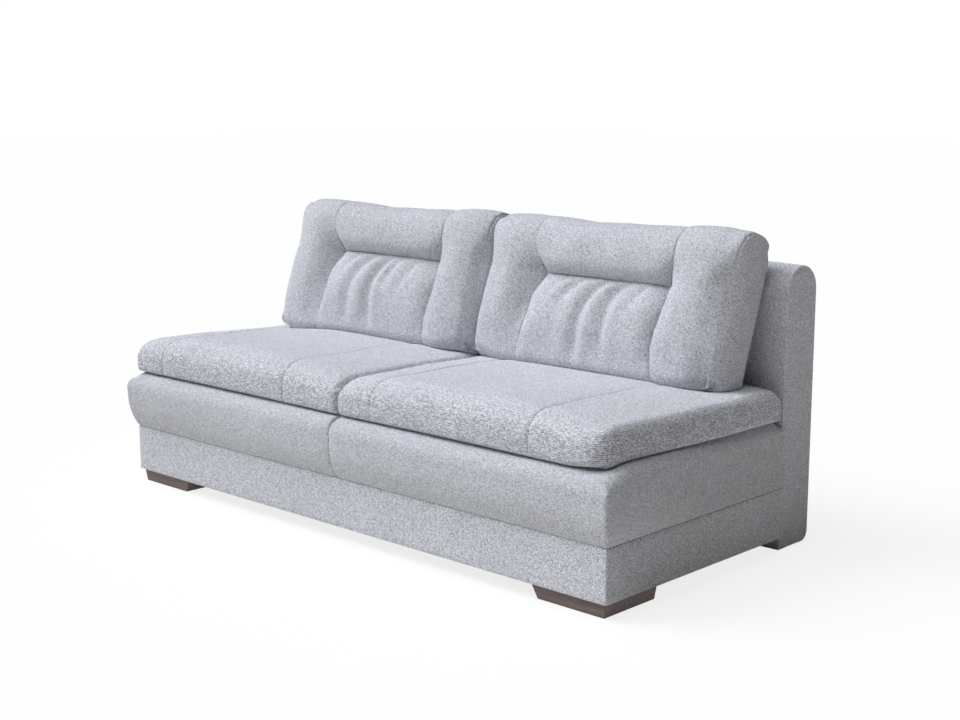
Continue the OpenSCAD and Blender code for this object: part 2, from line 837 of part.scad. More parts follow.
module headrest_fill_right() {
    color("ivory") middle_fill(cushion_right, cushion_right + back_cushion_l, headrest_seam,
        back_cushion_h - 2 * fill_wrap);
}

module headrest_fill_left() {
    color("ivory") middle_fill(cushion_left, cushion_left_end, headrest_seam,
        back_cushion_h - 2 * fill_wrap);
}

module lumbar_fill_right() {
    color("snow") middle_fill(cushion_right, cushion_right + back_cushion_l, fill_low - play, headrest_seam);
}

module lumbar_fill_left() {
    color("snow") middle_fill(cushion_left, cushion_left_end, fill_low - play, headrest_seam);
}

module back_cushion_zip_right() {
    color("dimgray") unit_frame() back_zip(cushion_right, cushion_right + back_cushion_l, 0);
}

module back_cushion_zip_left() {
    color("dimgray") unit_frame() back_zip(cushion_left, cushion_left_end, 0);
}

// Back slab

// Side view of the slab, drawn in by an inset, and open or closed below
module slab_profile(inset) {
    heel = slab_heel_r - inset;
    low = glide_h + (inset > 0 ? -cut : 0);
    translate([slab_y + inset, low + slab_heel_r])
        square([slab_t - 2 * inset, frame_top - low - slab_heel_r]);
    translate([slab_y + inset, low]) square([slab_t - inset - slab_heel_r, slab_heel_r + cut]);
    translate([slab_y + slab_t - slab_heel_r, low + slab_heel_r]) circle(r = heel);
    translate([slab_y + slab_r, frame_top]) circle(r = slab_r - inset);
}

module slab_body(inset) {
    run_x(inset - slab_x, slab_x - inset) slab_profile(inset);
}

// The space for the frame and its panels
module slab_room(gap) {
    block([slab_core - slab_x, slab_y + slab_core, glide_h - gap],
        [slab_x - slab_core, slab_y + slab_t - slab_core, frame_top]);
}

module back_cover() {
    color([0.75, 0.77, 0.8]) unit_frame() difference() {
        slab_body(0);
        slab_body(skin_t);
        both_bolt_rows(bolt_d + 2 * play);
    }
}

module back_foam() {
    color([0.95, 0.9, 0.7]) unit_frame() difference() {
        intersection() {
            slab_body(skin_t);
            block([-slab_x, slab_y, frame_z], [slab_x, slab_y + slab_t, slab_top]);
        }
        slab_room(cut);
        both_bolt_rows(bolt_d + 2 * play);
    }
}

module back_panel(y) {
    block([slab_core - slab_x, y, frame_z], [slab_x - slab_core, y + panel_t, frame_top]);
}

module back_front_panel() {
    color("sienna") unit_frame() difference() {
        back_panel(slab_y + slab_core);
        both_bolt_rows(bolt_d + 2 * play);
    }
}

module back_rear_panel() {
    color("sienna") unit_frame() back_panel(slab_y + slab_t - slab_core - panel_t);
}

post_y = slab_y + slab_core + panel_t;
post_rear = slab_y + slab_t - slab_core - panel_t;
post_x = slab_x - slab_core;

module end_post() {
    color("tan") unit_frame() block([post_x - post_w, post_y, frame_z], [post_x, post_rear, frame_top]);
}

module back_end_post_right() {
    end_post();
}

module back_end_post_left() {
    on_left() end_post();
}

module back_top_rail() {
    color("burlywood") unit_frame() block([post_w - post_x, post_y, frame_top - top_rail_h],
        [post_x - post_w, post_rear, frame_top]);
}

// A rail on the front side of the frame, which takes one row of the joining bolts
module bolt_rail(low, high, bolt_z) {
    unit_frame() difference() {
        block([post_w - post_x, post_y, low], [post_x - post_w, post_y + board_t, high]);
        bolt_bores(bolt_z, nut_barrel_d + 2 * play);
    }
}

module back_bottom_rail() {
    color("burlywood") bolt_rail(frame_z, frame_z + bottom_rail_h, bolt_low_z);
}

module back_middle_rail() {
    color("burlywood") bolt_rail(bolt_high_z - middle_rail_h / 2, bolt_high_z + middle_rail_h / 2,
        bolt_high_z);
}

module back_uprights() {
    upright_share = 0.55;
    color("tan") unit_frame() for (side = [-1, 1])
        translate([side * post_x * upright_share - post_w / 2, post_y + board_t, frame_z])
            cube([post_w, post_rear - post_y - board_t, frame_top - top_rail_h - frame_z]);
}

module back_dust_cloth() {
    color([0.2, 0.2, 0.2]) unit_frame() block([skin_t - slab_x, slab_y + skin_t, frame_z - cloth_t],
        [slab_x - skin_t, slab_y + slab_t - slab_heel_r, frame_z]);
}

// Joining hardware

module bolt_places() {
    for (z = [bolt_low_z, bolt_high_z], side = [-1, 1], share = [bolt_near_share, bolt_far_share])
        translate([side * share * slab_x, 0, z]) children();
}

module joining_bolts() {
    head_d = 1.6 * bolt_d;
    socket_d = 0.85 * bolt_d;
    socket_depth = bolt_d / 2;
    color("silver") unit_frame() bolt_places() translate([0, bolt_head_y, 0]) difference() {
        union() {
            translate([0, -bolt_d, 0]) bar_y(head_d, bolt_d);
            bar_y(bolt_d, nut_face_y + nut_flange_t - bolt_head_y);
        }
        translate([0, -bolt_d - cut, 0]) rotate([-90, 0, 0])
            cylinder(d = socket_d, h = socket_depth + cut, $fn = 6);
    }
}

module bolt_washers() {
    color("gainsboro") unit_frame() bolt_places() translate([0, bolt_head_y, 0]) difference() {
        bar_y(washer_d, washer_t);
        translate([0, -cut, 0]) bar_y(bolt_d + 2 * play, washer_t + 2 * cut);
    }
}

module bolt_t_nuts() {
    color("gold") unit_frame() bolt_places() translate([0, nut_face_y, 0]) difference() {
        union() {
            bar_y(nut_flange_d, nut_flange_t);
            translate([0, -nut_barrel_l, 0]) bar_y(nut_barrel_d, nut_barrel_l);
        }
        translate([0, -nut_barrel_l - cut, 0])
            bar_y(bolt_d + play, nut_barrel_l + nut_flange_t + 2 * cut);
    }
}

front_foot_left();
front_foot_right();
foot_screws();
rear_glides();
plinth_front_board();
plinth_rear_board();
plinth_side_board_left();
plinth_side_board_right();
plinth_cross_rails();
plinth_corner_blocks();
foot_plates();
plinth_cover_front();
plinth_cover_rear();
plinth_cover_left();
plinth_cover_right();
plinth_dust_cloth();
seat_front_rail();
seat_rear_rail();
seat_side_rail_left();
seat_side_rail_right();
seat_centre_rail();
seat_webbing();
base_foam_left();
base_foam_right();
base_cover_left();
base_cover_right();
seat_cushion_cover_left();
seat_cushion_cover_right();
seat_cushion_core_left();
seat_cushion_core_right();
seat_cushion_zip_left();
seat_cushion_zip_right();
back_cushion_cover_left();
back_cushion_cover_right();
bolster_fills_left();
bolster_fills_right();
headrest_fill_left();
headrest_fill_right();
lumbar_fill_left();
lumbar_fill_right();
back_cushion_zip_left();
back_cushion_zip_right();
back_end_post_left();
back_end_post_right();
back_uprights();
back_top_rail();
back_middle_rail();
back_bottom_rail();
back_front_panel();
back_rear_panel();
back_foam();
back_cover();
back_dust_cloth();
joining_bolts();
bolt_washers();
bolt_t_nuts();
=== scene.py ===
import json
import math
from types import SimpleNamespace

import bmesh
import bpy
import numpy as np
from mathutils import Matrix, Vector
from mathutils.bvhtree import BVHTree


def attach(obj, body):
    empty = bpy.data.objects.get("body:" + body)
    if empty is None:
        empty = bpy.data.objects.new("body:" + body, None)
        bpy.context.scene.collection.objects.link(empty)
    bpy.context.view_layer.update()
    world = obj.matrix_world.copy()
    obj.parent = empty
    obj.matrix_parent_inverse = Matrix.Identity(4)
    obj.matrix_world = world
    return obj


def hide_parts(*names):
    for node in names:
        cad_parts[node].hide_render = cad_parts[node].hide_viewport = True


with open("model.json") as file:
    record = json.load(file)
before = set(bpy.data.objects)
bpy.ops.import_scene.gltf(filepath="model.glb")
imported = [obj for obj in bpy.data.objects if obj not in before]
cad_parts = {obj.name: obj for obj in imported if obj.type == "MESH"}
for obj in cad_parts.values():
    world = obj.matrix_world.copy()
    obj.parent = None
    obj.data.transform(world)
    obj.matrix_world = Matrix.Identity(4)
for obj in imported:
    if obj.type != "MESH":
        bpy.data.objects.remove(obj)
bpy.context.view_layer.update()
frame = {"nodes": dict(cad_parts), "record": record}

# sizes and places in metres; Y is counted from the plinth's front face until to_row shifts it
FRONT_Y = -0.4445
HALF_L = 0.975
UNIT_D = 0.778
PLINTH_Z = 0.0428
BASE_Z = 0.1868
SEAT_Z = 0.3778
BULGE = 0.036
END_BULGE = {"left": 0.014, "right": 0.023}
GAP = 0.0006
CUSHION_LOW = SEAT_Z + GAP
CUSHION_H = 0.088
CROWN = 0.026
SEAT_END = 0.98
SEAT_REAR = 0.755
LEAN = math.radians(18.7)
BACK_ENDS = {"left": (-0.8923, -0.0003), "right": (0.0033, 0.9063)}
BACK_H = 0.456
BACK_T = 0.173
BOLSTER = 0.2
HEAD_SEAM = 0.278
SLAB_X = 0.965
SLAB_T = 0.147
SLAB_TOP = 0.797
SLAB_HEEL = 0.03
GLIDE_H = 0.004
WORD = {1: "right", -1: "left"}


# small helpers

def unit(t):
    return np.clip(t, 0.0, 1.0)


def smooth(t):
    t = unit(t)
    return t * t * (3.0 - 2.0 * t)


def ramp(x, low, high):
    return smooth((x - low) / (high - low))


def arch(x, low, high):
    t = unit((x - low) / (high - low))
    return np.sin(math.pi * t)


def bell(x, reach):
    return np.exp(-((x / reach) ** 2))


TURN = 6.283


def noise1(x, seed):
    """A smooth line of hills and dips along x, between about -1 and 1."""
    rng = np.random.default_rng(seed)
    out = np.zeros_like(x)
    for octave in range(3):
        height, phase = rng.uniform(0.6, 1.0), rng.uniform(0, TURN)
        out += height * 0.6 ** octave * np.sin(x * 1.9 ** octave + phase)
    return out / 1.6


def noise3(points, size, seed):
    """Smooth noise in space, from a few seeded waves, about -1 to 1."""
    rng = np.random.default_rng(seed)
    out = np.zeros(len(points))
    for _ in range(12):
        wave = rng.normal(size=3)
        wave *= rng.uniform(0.6, 1.4) * TURN / size / np.linalg.norm(wave)
        out += np.sin(points @ wave + rng.uniform(0, TURN))
    return out / 4.0


LEAST_STEP = 0.0006


def merge_stops(*groups):
    """Sorted stops from several lists, without any two that nearly coincide."""
    stops = sorted(s for g in groups for s in g)
    kept = [stops[0]]
    for s in stops[1:]:
        if s - kept[-1] > LEAST_STEP:
            kept.append(s)
    return np.array(kept)


def even(low, high, step):
    return list(np.linspace(low, high, max(2, int(round((high - low) / step)) + 1)))


def near_ends(low, high, stops):
    return [low + d for d in stops] + [high - d for d in stops]


CLOSE_STOPS = (0.0016, 0.004, 0.0075, 0.0125)


def spread(stops, crowd, step):
    """Even stops from the first to the last, with extra ones round each place in crowd."""
    low, high = stops
    base = even(low, high, step)
    near = [c + d for c in crowd for d in (0.0, *CLOSE_STOPS, *(-d for d in CLOSE_STOPS))]
    far = [s for s in base if all(abs(s - n) > step * 0.45 for n in near)] + [low, high]
    return merge_stops(far, [n for n in near if low < n < high])


def box_grid(xs, ys, zs):
    """Points and quads over the six faces of a box with these stops."""
    nx, ny, nz = len(xs), len(ys), len(zs)
    i, j, k = np.meshgrid(np.arange(nx), np.arange(ny), np.arange(nz), indexing="ij")
    on = (i == 0) | (i == nx - 1) | (j == 0) | (j == ny - 1) | (k == 0) | (k == nz - 1)
    index = np.full((nx, ny, nz), -1)
    index[on] = np.arange(on.sum())
    points = np.stack([xs[i[on]], ys[j[on]], zs[k[on]]], axis=1)

    def quads(a, flip):
        q = np.stack([a[:-1, :-1], a[1:, :-1], a[1:, 1:], a[:-1, 1:]], axis=-1).reshape(-1, 4)
        return q[:, ::-1] if flip else q

    faces = [quads(index[:, :, 0], True), quads(index[:, :, -1], False),
             quads(index[:, 0, :], False), quads(index[:, -1, :], True),
             quads(index[0, :, :], True), quads(index[-1, :, :], False)]
    return points, np.concatenate(faces)


def band(a, b, n):
    """Faces between two rings of n points, the first starting at a and the other at b."""
    return [(a + c, a + (c + 1) % n, b + (c + 1) % n, b + c) for c in range(n)]


def edge_share(p, low, high, low_r, high_r):
    """How far a point lies within the roll of an edge: -1 to 0 at the low one, 0 to 1 at the high."""
    d = p - np.clip(p, low + low_r, high - high_r)
    return np.where(d < 0, d / low_r, d / high_r)


def rolled(points, a, b, low, high, a_r, b_r):
    """Rolls a box's edges between axes a and b, as the solids do."""
    da = edge_share(points[:, a], low[a], high[a], a_r[0], a_r[1])
    db = edge_share(points[:, b], low[b], high[b], b_r[0], b_r[1])
    size = np.hypot(da, db)
    top = np.maximum(np.abs(da), np.abs(db))
    back = 1 - np.divide(top, size, out=np.ones_like(size), where=size > 0)
    out = points.copy()
    out[:, a] -= da * np.where(da < 0, a_r[0], a_r[1]) * back
    out[:, b] -= db * np.where(db < 0, b_r[0], b_r[1]) * back
    return out


def rolled_where(mask, points, axes, box, these, others):
    """Rolls edges with these radii where the mask holds, and with the others elsewhere."""
    return np.where(mask[:, None], rolled(points, *axes, *box, *these),
                    rolled(points, *axes, *box, *others))


def normals_of(points, quads):
    n = np.zeros_like(points)
    face = np.cross(points[quads[:, 2]] - points[quads[:, 0]],
                    points[quads[:, 3]] - points[quads[:, 1]])
    for c in range(4):
        np.add.at(n, quads[:, c], face)
    return n / np.maximum(np.linalg.norm(n, axis=1, keepdims=True), 1e-12)


def placed(name, data):
    o = bpy.data.objects.new(name, data)
    bpy.context.scene.collection.objects.link(o)
    return o


def make_object(name, points, quads, smooth_shade=True):
    mesh = bpy.data.meshes.new(name)
    mesh.from_pydata([tuple(p) for p in points], [], [tuple(q) for q in quads])
    mesh.update()
    mesh.polygons.foreach_set("use_smooth", [smooth_shade] * len(mesh.polygons))
    return placed(name, mesh)


def read_points(o):
    out = np.empty(len(o.data.vertices) * 3)
    o.data.vertices.foreach_get("co", out)
    return out.reshape(-1, 3)


def write_points(o, points):
    o.data.vertices.foreach_set("co", np.ascontiguousarray(points).ravel())
    o.data.update()


def subdivide(o):
    m = o.modifiers.new("soften", "SUBSURF")
    m.levels = m.render_levels = 1
    with bpy.context.temp_override(object=o, active_object=o, selected_objects=[o]):
        bpy.ops.object.modifier_apply(modifier=m.name)


LEAST_PIN = 0.15
PUFF_FRAMES = 20
EVENING_ROUNDS = 30
CLOTH = {"quality": 5, "mass": 0.3, "tension_stiffness": 15, "compression_stiffness": 15,
         "shear_stiffness": 8, "bending_stiffness": 0.6, "air_damping": 4, "use_pressure": True,
         "pin_stiffness": 1}


def hold(o, pins):
    """A vertex group of these weights, rounded to hundredths."""
    group = o.vertex_groups.new(name="held")
    weights = np.round(pins, 2)
    for w in np.unique(weights):
        if w > 0:
            group.add([int(v) for v in np.where(weights == w)[0]], float(w), "REPLACE")
    return group.name


def evened(move, pairs):
    """Spreads the movement to neighbours, so that packed rows beside a seam keep their order."""
    count = np.bincount(pairs.ravel(), minlength=len(move))[:, None]
    for _ in range(EVENING_ROUNDS):
        near = np.zeros_like(move)
        np.add.at(near, pairs[:, 0], move[pairs[:, 1]])
        np.add.at(near, pairs[:, 1], move[pairs[:, 0]])
        move = (move + near / count) / 2
    return move


def puff(o, pins, pressure, cap, shrink):
    """Swells a shape with a cloth simulation, by up to cap, with its seams held."""
    before = read_points(o)
    held = hold(o, pins)
    m = o.modifiers.new("stuffing", "CLOTH")
    for key, value in CLOTH.items():
        setattr(m.settings, key, value)
    m.settings.uniform_pressure_force = pressure
    m.settings.effector_weights.gravity = 0
    m.settings.shrink_min = shrink
    m.settings.vertex_group_mass = held
    m.collision_settings.use_collision = False
    m.collision_settings.use_self_collision = False
    m.point_cache.frame_start, m.point_cache.frame_end = 1, PUFF_FRAMES
    scene = bpy.context.scene
    for f in range(1, PUFF_FRAMES + 1):
        scene.frame_set(f)
    after = read_points(o.evaluated_get(bpy.context.evaluated_depsgraph_get()))
    pairs = np.array([e.vertices[:] for e in o.data.edges])
    move = evened(after - before, pairs)
    far = np.linalg.norm(move, axis=1, keepdims=True)
    move *= np.minimum(1.0, cap / np.maximum(far, 1e-9))
    o.modifiers.remove(m)
    scene.frame_set(1)
    write_points(o, before + move)


# materials

def node(tree, kind, **values):
    """A shader node; each value is a setting, a number, or a socket that it is linked to."""
    n = tree.nodes.new(kind)
    for key, value in values.items():
        if key not in n.inputs:
            setattr(n, key, value)
        elif hasattr(value, "links"):
            tree.links.new(value, n.inputs[key])
        else:
            n.inputs[key].default_value = value
    return n


def give(shader, **values):
    """Sets inputs by their names, written with low lines for spaces."""
    for key, value in values.items():
        shader.inputs[key.replace("_", " ")].default_value = value


def mixed(tree, share, a, b):
    """Two shaders blended by a share, which is a number or a socket."""
    n = node(tree, "ShaderNodeMixShader", Fac=share)
    tree.links.new(a.outputs[0], n.inputs[1])
    tree.links.new(b.outputs[0], n.inputs[2])
    return n


def new_material(name):
    m = bpy.data.materials.new(name)
    m.use_nodes = True
    tree = m.node_tree
    tree.nodes.clear()
    out = tree.nodes.new("ShaderNodeOutputMaterial")
    shader = tree.nodes.new("ShaderNodeBsdfPrincipled")
    tree.links.new(shader.outputs[0], out.inputs[0])
    return m, tree, shader


def calc(tree, operation, a, b=None, c=None, clamp=False):
    """A sum on numbers or sockets."""
    n = tree.nodes.new("ShaderNodeMath")
    n.operation = operation
    n.use_clamp = clamp
    for k, v in enumerate((a, b, c)):
        if v is None:
            continue
        if hasattr(v, "links"):
            tree.links.new(v, n.inputs[k])
        else:
            n.inputs[k].default_value = v
    return n.outputs[0]


def tinted(tree, shader, share, low, high):
    """Base colour from low to high by a share."""
    colour = node(tree, "ShaderNodeMix", data_type="RGBA")
    colour.inputs[6].default_value = (*low, 1)
    colour.inputs[7].default_value = (*high, 1)
    tree.links.new(share, colour.inputs[0])
    tree.links.new(colour.outputs[2], shader.inputs[0])


def raised(tree, shader, height, strength, distance):
    lift = node(tree, "ShaderNodeBump", Strength=strength, Distance=distance, Height=height)
    tree.links.new(lift.outputs[0], shader.inputs["Normal"])


def cell_tones(tree, vector, size):
    """A tone in red and another in blue for each cell of about this size."""
    cells = node(tree, "ShaderNodeTexVoronoi", Scale=1 / size, Vector=vector)
    split = node(tree, "ShaderNodeSeparateColor", Color=cells.outputs["Color"])
    return split.outputs[0], split.outputs[2]


# the melange weave: contrasts are shares of the way from the dark to the pale tone
YARN = 0.0012
YARN_CONTRAST = 0.95
PEPPER_SHARE, PEPPER_DEPTH, PEPPER_SIZE = 0.13, 0.6, 1.35
TUFT_SCALE, TUFT_CONTRAST = 0.35, 0.12
CLOUD_SCALE, CLOUD_CONTRAST = 3.5, 0.08
MID_TONE = 0.55
WEAVE_HEIGHT = 0.001
# the level dashes: height of a row, length of a dash, share of gaps, shift from row to row
ROW_H, DASH_L, DASH_REST, DASH_SHIFT = 0.0052, 0.0065, 0.2, 0.43
ROW_WANDER, ROW_POWER, UPRIGHT_GAIN, DASH_DENT = 0.0008, 2.5, 1.5, 0.6


def level_dashes(tree, place, wander):
    """Rows along the height, each cut into dashes of its own darkness, on upright faces."""
    facing = node(tree, "ShaderNodeSeparateXYZ", Vector=place.outputs["Normal"])
    stand = calc(tree, "SUBTRACT", 1.0, calc(tree, "ABSOLUTE", facing.outputs[2]))
    stand = calc(tree, "MULTIPLY", stand, UPRIGHT_GAIN, clamp=True)
    axes = node(tree, "ShaderNodeSeparateXYZ", Vector=place.outputs["Object"])
    run_on = calc(tree, "ADD", axes.outputs[0], axes.outputs[1])
    height_on = calc(tree, "MULTIPLY_ADD", wander, ROW_WANDER, axes.outputs[2])
    row = calc(tree, "MULTIPLY", height_on, 1 / ROW_H)
    row_number = calc(tree, "FLOOR", row)
    along = calc(tree, "MULTIPLY", run_on, 1 / DASH_L)
    along = calc(tree, "MULTIPLY_ADD", row_number, DASH_SHIFT, along)
    cell = node(tree, "ShaderNodeCombineXYZ", X=calc(tree, "FLOOR", along), Y=row_number)
    chance = node(tree, "ShaderNodeTexWhiteNoise", Vector=cell.outputs[0])
    phase = calc(tree, "MULTIPLY", calc(tree, "FRACT", row), math.pi)
    line = calc(tree, "POWER", calc(tree, "SINE", phase), ROW_POWER)
    darkness = calc(tree, "SUBTRACT", chance.outputs["Value"], DASH_REST, clamp=True)
    darkness = calc(tree, "MULTIPLY", darkness, line)
    return calc(tree, "MULTIPLY", darkness, stand)


def fabric(name, pale, dark, run=(1.0, 1.0, 1.0), dashes=0.0, bump=0.5):
    """A melange weave: yarn ends of mixed tones, with level dashes on upright faces if set."""
    m, t, s = new_material(name)
    place = node(t, "ShaderNodeTexCoord")
    warp = node(t, "ShaderNodeMapping", Scale=run, Vector=place.outputs["Object"])
    # salt and pepper: each yarn end has its own tone
    tone, _ = cell_tones(t, warp.outputs[0], YARN)
    mix = calc(t, "SUBTRACT", tone, 0.5)
    mix = calc(t, "MULTIPLY", mix, YARN_CONTRAST)
    _, speck = cell_tones(t, warp.outputs[0], YARN * PEPPER_SIZE)
    peppered = calc(t, "GREATER_THAN", speck, 1 - PEPPER_SHARE)
    mix = calc(t, "MULTIPLY_ADD", peppered, -PEPPER_DEPTH, mix)
    # tufts a few yarns wide, and broad, faint changes of tone
    tufts = node(t, "ShaderNodeTexNoise", Vector=warp.outputs[0], Scale=TUFT_SCALE / YARN,
                 Detail=2.0, Roughness=0.6)
    mottle = calc(t, "SUBTRACT", tufts.outputs[0], 0.5)
    mix = calc(t, "MULTIPLY_ADD", mottle, TUFT_CONTRAST, mix)
    cloud = node(t, "ShaderNodeTexNoise", Vector=place.outputs["Object"], Scale=CLOUD_SCALE,
                 Detail=2.0)
    faint = calc(t, "SUBTRACT", cloud.outputs[0], 0.5)
    mix = calc(t, "MULTIPLY_ADD", faint, CLOUD_CONTRAST, mix)
    height = calc(t, "MULTIPLY", tufts.outputs[0], 0.5)
    height = calc(t, "MULTIPLY_ADD", tone, 0.5, height)
    if dashes:
        dash = level_dashes(t, place, mottle)
        mix = calc(t, "MULTIPLY_ADD", dash, -dashes, mix)
        height = calc(t, "MULTIPLY_ADD", dash, -DASH_DENT, height)
    tinted(t, s, calc(t, "ADD", mix, MID_TONE, clamp=True), dark, pale)
    raised(t, s, height, bump, WEAVE_HEIGHT)
    give(s, Roughness=0.95, Specular_IOR_Level=0.12, Sheen_Weight=0.1, Sheen_Roughness=0.6)
    return m


WOOD_STRETCH = (3.0, 40.0, 40.0)


def wood(name, pale, dark, roughness, coat=0.0):
    """Grain that runs along X."""
    m, t, s = new_material(name)
    place = node(t, "ShaderNodeTexCoord").outputs["Object"]
    stretch = node(t, "ShaderNodeMapping", Scale=WOOD_STRETCH, Vector=place).outputs[0]
    lines = node(t, "ShaderNodeTexNoise", Vector=stretch, Scale=3.0, Detail=6.0, Roughness=0.65,
                 Distortion=0.4)
    pores = node(t, "ShaderNodeTexNoise", Vector=stretch, Scale=14.0, Detail=3.0, Roughness=0.7)
    share = calc(t, "MULTIPLY_ADD", pores.outputs[0], 0.5, lines.outputs[0])
    share = calc(t, "MULTIPLY_ADD", share, 2.2, -1.15, clamp=True)
    tinted(t, s, share, dark, pale)
    rough = calc(t, "MULTIPLY_ADD", pores.outputs[0], 0.2, roughness - 0.1)
    t.links.new(rough, s.inputs["Roughness"])
    raised(t, s, share, 0.25, 0.0006)
    give(s, Coat_Weight=coat, Coat_Roughness=0.35, Specular_IOR_Level=0.4)
    return m


def grained(name, colour, change, scale, roughness, metallic=0.0, bump=0.2, specular=0.4):
    """A plain stuff with a fine grain: foam, plastic, steel, board or woven tape."""
    m, t, s = new_material(name)
    place = node(t, "ShaderNodeTexCoord").outputs["Object"]
    grain = node(t, "ShaderNodeTexNoise", Vector=place, Scale=scale, Detail=4.0, Roughness=0.6)
    low = [c * (1 - change) for c in colour]
    high = [min(1.0, c * (1 + change)) for c in colour]
    tinted(t, s, grain.outputs[0], low, high)
    rough = calc(t, "MULTIPLY_ADD", grain.outputs[0], 0.2, roughness - 0.1)
    t.links.new(rough, s.inputs["Roughness"])
    raised(t, s, grain.outputs[0], bump, 0.0008)
    give(s, Metallic=metallic, Specular_IOR_Level=specular)
    return m


PALE, DARK = (0.96, 0.985, 1.03), (0.21, 0.215, 0.235)


def toned(colour, share):
    return tuple(c * share for c in colour)


def weave(name, share, **values):
    return fabric(name, toned(PALE, share), toned(DARK, share), **values)


mat_base = weave("base weave", 0.86)
# painted light: the plinth's copy of the base fabric is set lighter than the base's copy, to lift the
# shade that falls near the floor
mat_plinth_lightened = weave("plinth weave", 0.93, run=(1.0, 1.0, 0.7))
# the seat and back covers are one cushion fabric; the seats' copy is set lighter and given level
# dashes, the backs' copy darker
mat_seat = fabric("seat weave", toned(PALE, 1.035), DARK, dashes=1.0, bump=0.6)
mat_back = weave("back weave", 0.92)
mat_slab = weave("slab weave", 0.98)
SLOT_MATERIALS = {
    "base_fabric": mat_base, "cushion_fabric": mat_back, "slab_fabric": mat_slab,
    "foot_wood": wood("dark stained wood", (0.205, 0.155, 0.138), (0.085, 0.06, 0.055), 0.5, 0.08),
    "frame_wood": wood("frame wood", (0.74, 0.57, 0.36), (0.55, 0.38, 0.21), 0.6),
    "hardboard": grained("hardboard", (0.36, 0.24, 0.14), 0.25, 260, 0.7),
    "foam": grained("foam", (0.86, 0.79, 0.56), 0.08, 500, 0.95, bump=0.5, specular=0.1),
    "fibre_fill": grained("fibre", (0.88, 0.88, 0.86), 0.06, 300, 0.95, bump=0.6, specular=0.1),
    "webbing": grained("webbing", (0.14, 0.125, 0.105), 0.3, 700, 0.85, bump=0.6, specular=0.2),
    "dust_cloth": grained("dust cloth", (0.035, 0.035, 0.037), 0.3, 900, 0.95, bump=0.4, specular=0.1),
    "zip": grained("zip", (0.16, 0.16, 0.17), 0.25, 800, 0.55),
    "glide_plastic": grained("glide plastic", (0.05, 0.05, 0.052), 0.15, 500, 0.45),
    "screw_steel": grained("screw steel", (0.6, 0.6, 0.58), 0.12, 400, 0.35, metallic=1.0),
    "bolt_steel": grained("bolt steel", (0.62, 0.62, 0.6), 0.12, 400, 0.35, metallic=1.0)}

for part in frame["record"]["subparts"]:
    holder = frame["nodes"][part["node"]]
    material = SLOT_MATERIALS[part["material_slot"]]
    if not holder.material_slots:
        holder.data.materials.append(material)
    for holder_slot in holder.material_slots:
        holder_slot.material = material


def dress(o, material, body, slot_name, *nodes):
    """Gives a piece in its place a material, and puts it on a body instead of these nodes."""
    o.data.materials.append(material)
    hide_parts(*nodes)
    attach(o, body)


def to_row(points):
    """Y counted from the plinth's front face becomes Y of the row."""
    return points + [0, FRONT_Y, 0]


# plinth cover

PLINTH_CORNER_R = 0.003
HEM = 0.024


def plinth_path():
    """The outline round the plinth, with a point about every 20 mm."""
    ring = []
    for cx, cy, start in ((HALF_L, UNIT_D, 0), (-HALF_L, UNIT_D, 90), (-HALF_L, 0, 180),
                          (HALF_L, 0, 270)):
        hx = cx - math.copysign(PLINTH_CORNER_R, cx)
        hy = cy - PLINTH_CORNER_R if cy > 0 else PLINTH_CORNER_R
        for a in np.radians(np.linspace(start, start + 90, 5)):
            ring.append((hx + PLINTH_CORNER_R * math.cos(a), hy + PLINTH_CORNER_R * math.sin(a)))
    path = []
    for a, b in zip(np.array(ring), np.roll(ring, -1, axis=0)):
        steps = max(1, int(math.dist(a, b) / 0.02))
        path += [a + (b - a) * k / steps for k in range(steps)]
    return np.array(path)


def plinth_cover():
    """The fabric round the plinth's boards, with crisp corners and hems turned in."""
    path = plinth_path()
    mid = np.array([0.0, UNIT_D / 2])
    # the skin's height and how far it is drawn in, from the inner lower hem to the upper one
    rows = [(PLINTH_Z + 0.0003, HEM), (PLINTH_Z, 0.004), (PLINTH_Z + 0.0006, 0.0012),
            (PLINTH_Z + 0.003, 0.0)]
    rows += [(z, 0.0) for z in np.linspace(PLINTH_Z + 0.02, BASE_Z - 0.02, 6)]
    rows += [(BASE_Z - 0.002, 0.0), (BASE_Z - 0.0008, 0.0009), (BASE_Z - 0.0004, 0.004),
             (BASE_Z - 0.0006, HEM)]
    points = []
    n = len(path)
    for z, inset in rows:
        half = np.array([HALF_L, UNIT_D / 2]) - inset
        drawn = mid + np.sign(path - mid) * np.minimum(np.abs(path - mid), half)
        points += [(x, y, z) for x, y in drawn]
    # the two hems end in an inner band
    points += [(x, y, z) for (x, y, _), z in
               zip(points[-n:] + points[:n], [BASE_Z - 0.002] * n + [PLINTH_Z + 0.0018] * n)]
    rings = [r * n for r in range(len(rows) + 2)]
    quads = [quad for a, b in zip(rings, rings[1:] + [0]) for quad in band(a, b, n)]
    o = make_object("plinth_fabric", to_row(np.array(points)), quads)
    dress(o, mat_plinth_lightened, "root", "base_fabric", "plinth_cover_front", "plinth_cover_rear",
          "plinth_cover_left", "plinth_cover_right")


# seat base

BASE_H = 0.191
SWELL_Z = BASE_Z + BASE_H * 0.565
SWELL_REACH = 0.8
SWELL_POWER = 2.3
BULGE_AT_END, BULGE_END_REACH = 0.03, 0.25
NOSE_DROP, NOSE_FLAT, NOSE_REACH = 0.014, 0.015, 0.1
CREASE_R = 0.009
BASE_CORNER_R = 0.009
BASE_REAR_R = 0.003
BASE_TUCK_R = 0.0022
BASE_END_R = 0.04
BASE_NOSE_R, BASE_HEEL_R, BASE_TOP_R = 0.06, 0.05, 0.05
BASE_RIPPLE, BASE_RIPPLE_SIZE = 0.0011, 0.16
CREASE_DRAW, CREASE_REACH = 0.0045, 0.03


def seat_line_drop(y):
    """How far the line between base and cushions dips towards the front."""
    back = unit(1 - (y - NOSE_FLAT) / NOSE_REACH) ** 2
    return NOSE_DROP * np.where(y < NOSE_FLAT, 1.0, back)


